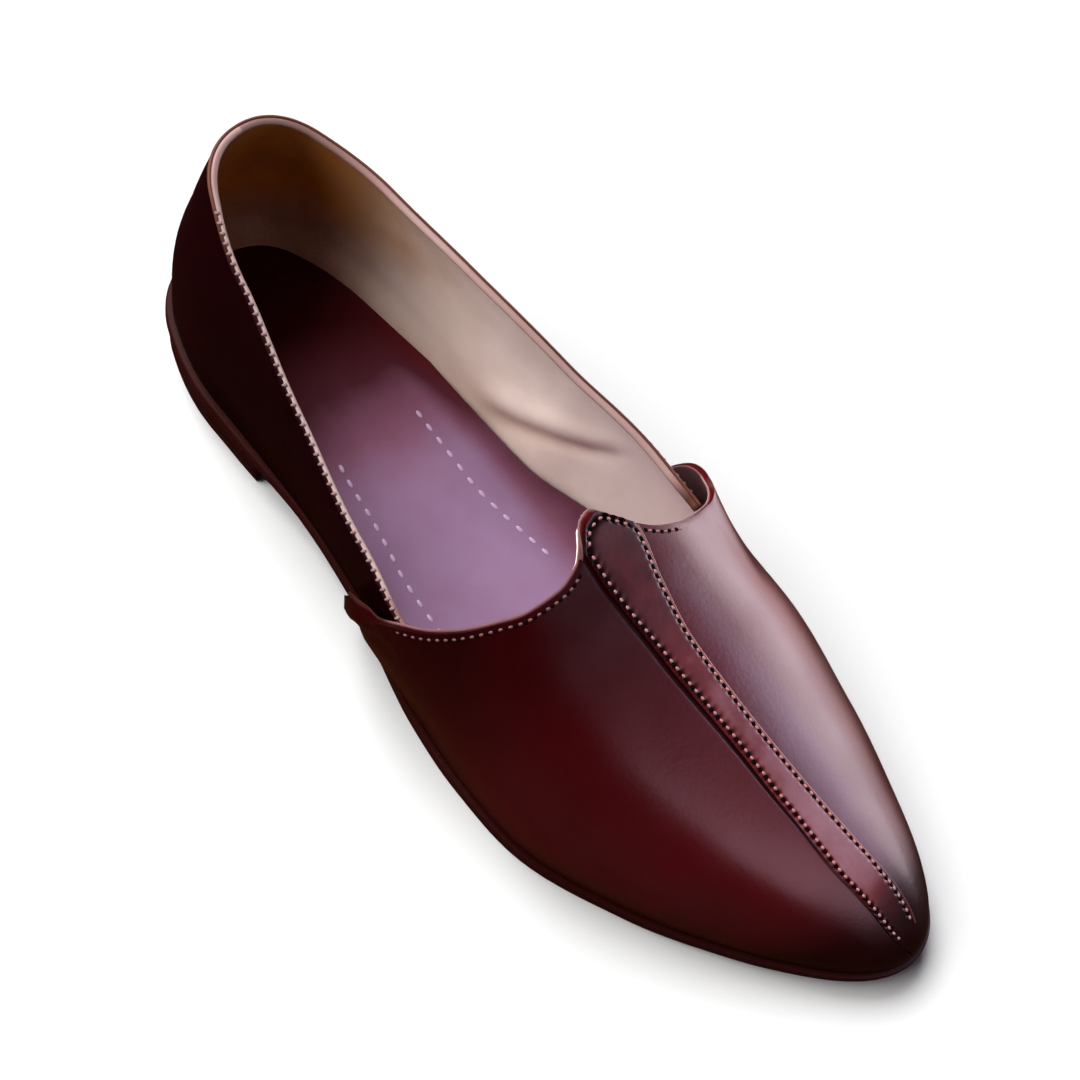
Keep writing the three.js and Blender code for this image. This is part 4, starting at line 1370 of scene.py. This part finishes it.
# The wall of the sweep is lit paper: it glows evenly.
backdrop_material, backdrop_tree = new_material("lit_paper_backdrop")
glow = add_node(backdrop_tree, "ShaderNodeEmission", {
    "Color": hex_colour("#ffffff"), "Strength": WALL_GLOW})
add_node(backdrop_tree, "ShaderNodeOutputMaterial", {"Surface": glow.outputs["Emission"]})
print("paper:", floor_material.name, backdrop_material.name)

# %% Floor and sweep
FLOOR_RADIUS = 3.0
FLOOR_RINGS = 9
SWEEP_RADIUS = 0.6
SWEEP_STEPS = 17
WALL_RISE = 0.9
COMPASS_STEPS = 97
COMPASS = np.linspace(0, 2 * np.pi, COMPASS_STEPS)[:, None]


def add_paper(name, out, up, material):
    """A profile, given by its distances from the middle and its heights in m, turned round the middle."""
    height = np.broadcast_to(up, (len(COMPASS), len(up)))
    points = np.stack([out * np.cos(COMPASS), out * np.sin(COMPASS), height], -1)
    mesh = bpy.data.meshes.new(name)
    mesh.from_pydata(points.reshape(-1, 3).tolist(), [], grid_faces(points.shape, flip=True).tolist())
    mesh.polygons.foreach_set("use_smooth", np.ones(len(mesh.polygons), bool))
    mesh.materials.append(material)
    paper_piece = bpy.data.objects.new(name, mesh)
    bpy.context.scene.collection.objects.link(paper_piece)
    paper_piece.visible_glossy = False
    return paper_piece


add_paper("floor", np.linspace(0, FLOOR_RADIUS, FLOOR_RINGS), np.zeros(FLOOR_RINGS), floor_material)
bend = np.linspace(0, np.pi / 2, SWEEP_STEPS)
sweep_out = np.append(FLOOR_RADIUS + SWEEP_RADIUS * np.sin(bend), FLOOR_RADIUS + SWEEP_RADIUS)
sweep_up = np.append(SWEEP_RADIUS * (1 - np.cos(bend)), SWEEP_RADIUS + WALL_RISE)
backdrop = add_paper("backdrop", sweep_out, sweep_up, backdrop_material)
# Only the camera sees the wall, so it throws no light or shade on the shoe.
backdrop.visible_diffuse = False
backdrop.visible_shadow = False
print("paper", FLOOR_RADIUS + SWEEP_RADIUS, "m to its wall")

# %% [markdown]
# Two wide, far lights model the shoe: one from behind the heel and a fill from the outer side. Polished
# leather is drawn by what it mirrors, so three softboxes serve only as reflections: a broad one beyond the
# inner side, a small window that gives the cool patch on that half, and a low one before the toe for the
# gleam there.

# %% Lights
LIT_POINT = Vector((0.05, 0.0, 0.03))
PANEL_DISTANCE = 1.0


def away_from(direction):
    """Unit vector of a direction given in degrees from +X towards +Y, and above the floor."""
    turn, lift = np.radians(direction)
    return Vector((math.cos(turn) * math.cos(lift), math.sin(turn) * math.cos(lift), math.sin(lift)))


def add_lamp(name, kind, direction, distance, colour, **settings):
    """A lamp at a distance from the shoe's vamp in a direction, turned to face the vamp."""
    data = bpy.data.lights.new(name, kind)
    data.color = hex_colour(colour)[:3]
    for key, value in settings.items():
        setattr(data, key, value)
    lamp = bpy.data.objects.new(name, data)
    lamp.location = LIT_POINT + away_from(direction) * distance
    lamp.rotation_euler = away_from(direction).to_track_quat("Z", "Y").to_euler()
    lamp.visible_camera = False
    bpy.context.scene.collection.objects.link(lamp)
    return lamp


def add_softbox(name, direction, distance, size, power, colour):
    """A rectangular light of a width and height in m that serves only as a reflection."""
    lamp = add_lamp(name, "AREA", direction, distance, colour, shape="RECTANGLE",
                    size=size[0], size_y=size[1], energy=power)
    lamp.visible_diffuse = False


def add_sky_panel(name, direction, spread, strength, colour):
    """A far, wide light: rays spread over an angle in degrees, and a strength in W per square metre."""
    return add_lamp(name, "SUN", direction, PANEL_DISTANCE, colour,
                    angle=math.radians(spread), energy=strength)


add_softbox("inner_side_softbox", direction=(66, 14), distance=0.9, size=(0.5, 0.36), power=7.4,
            colour="#f2e0ea")
add_softbox("window_softbox", direction=(47, 29), distance=0.34, size=(0.13, 0.1), power=0.46,
            colour="#e0d4fa")
add_softbox("toe_softbox", direction=(2, 36), distance=0.9, size=(0.62, 0.26), power=3.2,
            colour="#f0c8dc")
add_sky_panel("overhead_panel", direction=(172, 54), spread=30, strength=4.1, colour="#fffaf8")
fill = add_sky_panel("near_side_fill", direction=(-138, 46), spread=44, strength=4.0, colour="#fffaf4")
fill.visible_glossy = False
print("lights:", [lamp.name for lamp in bpy.data.lights])

# %% [markdown]
# The rest of what the leather mirrors is a dark room, so that the red stays deep. On the inner side a
# bright wall stands above a warm floor, which gives that half its long pale shine. Two colour ramps over
# the height make it.

# %% Surroundings
ROOM_STRENGTH = 8.0
ROOM_HEIGHT = (-1.0, 0.1)
FAR_SIDE = (0.86, 0.96)
world = bpy.data.worlds.new("studio")
world.use_nodes = True
room = world.node_tree
direction = add_node(room, "ShaderNodeTexCoord", {}).outputs["Generated"]
part = add_node(room, "ShaderNodeSeparateXYZ", {"Vector": direction})
height = add_node(room, "ShaderNodeMapRange", {
    "Value": part.outputs["Z"], "From Min": ROOM_HEIGHT[0], "From Max": ROOM_HEIGHT[1]})
beyond = add_node(room, "ShaderNodeMapRange", {
    "Value": part.outputs["Y"], "From Min": FAR_SIDE[0], "From Max": FAR_SIDE[1]})
near_room = add_node(room, "ShaderNodeValToRGB", {"Fac": height.outputs["Result"]})
set_ramp(near_room, [(0.0, "#160803"), (0.8, "#160803"), (0.93, "#080607")])
far_room = add_node(room, "ShaderNodeValToRGB", {"Fac": height.outputs["Result"]})
set_ramp(far_room, [(0.13, "#190807"), (0.25, "#27110e"), (0.43, "#63493e"), (0.74, "#d3a5a8"),
                    (0.91, "#ffe8f1"), (0.95, "#ffe8f1"), (1.0, "#080607")])
tint = add_node(room, "ShaderNodeMix", {"Factor": beyond.outputs["Result"]}, data_type="RGBA")
room.links.new(near_room.outputs["Color"], tint.inputs["A"])
room.links.new(far_room.outputs["Color"], tint.inputs["B"])
room.links.new(tint.outputs["Result"], room.nodes["Background"].inputs["Color"])
room.nodes["Background"].inputs["Strength"].default_value = ROOM_STRENGTH
bpy.context.scene.world = world
bpy.context.scene.view_settings.view_transform = "Standard"
print("surroundings:", world.name)

# %% [markdown]
# The camera looks down on the shoe from before the toe, on the outer side, and is rolled so that the shoe
# lies on the slant that the photograph has. Its place is given in the shoe's own millimetres, like
# everything else.

# %% Camera
CAMERA_EYE = np.array([225.22, -198.41, 459.27])
CAMERA_AIM = np.array([135.14, 7.71, 30.0])
CAMERA_ROLL = math.radians(25.668)
CAMERA_LENS = 58.0
CAMERA_SENSOR = 36.0
eye = Vector(to_row(CAMERA_EYE)[0])
aim = Vector(to_row(CAMERA_AIM)[0])
camera_data = bpy.data.cameras.new("camera")
camera_data.sensor_width = CAMERA_SENSOR
camera_data.lens = CAMERA_LENS
camera = bpy.data.objects.new("camera", camera_data)
bpy.context.scene.collection.objects.link(camera)
look = (aim - eye).to_track_quat("-Z", "Y").to_matrix()
camera.matrix_world = Matrix.Translation(eye) @ (look @ Matrix.Rotation(CAMERA_ROLL, 3, "Z")).to_4x4()
bpy.context.scene.camera = camera
print("camera at", [round(value, 3) for value in eye], "m")
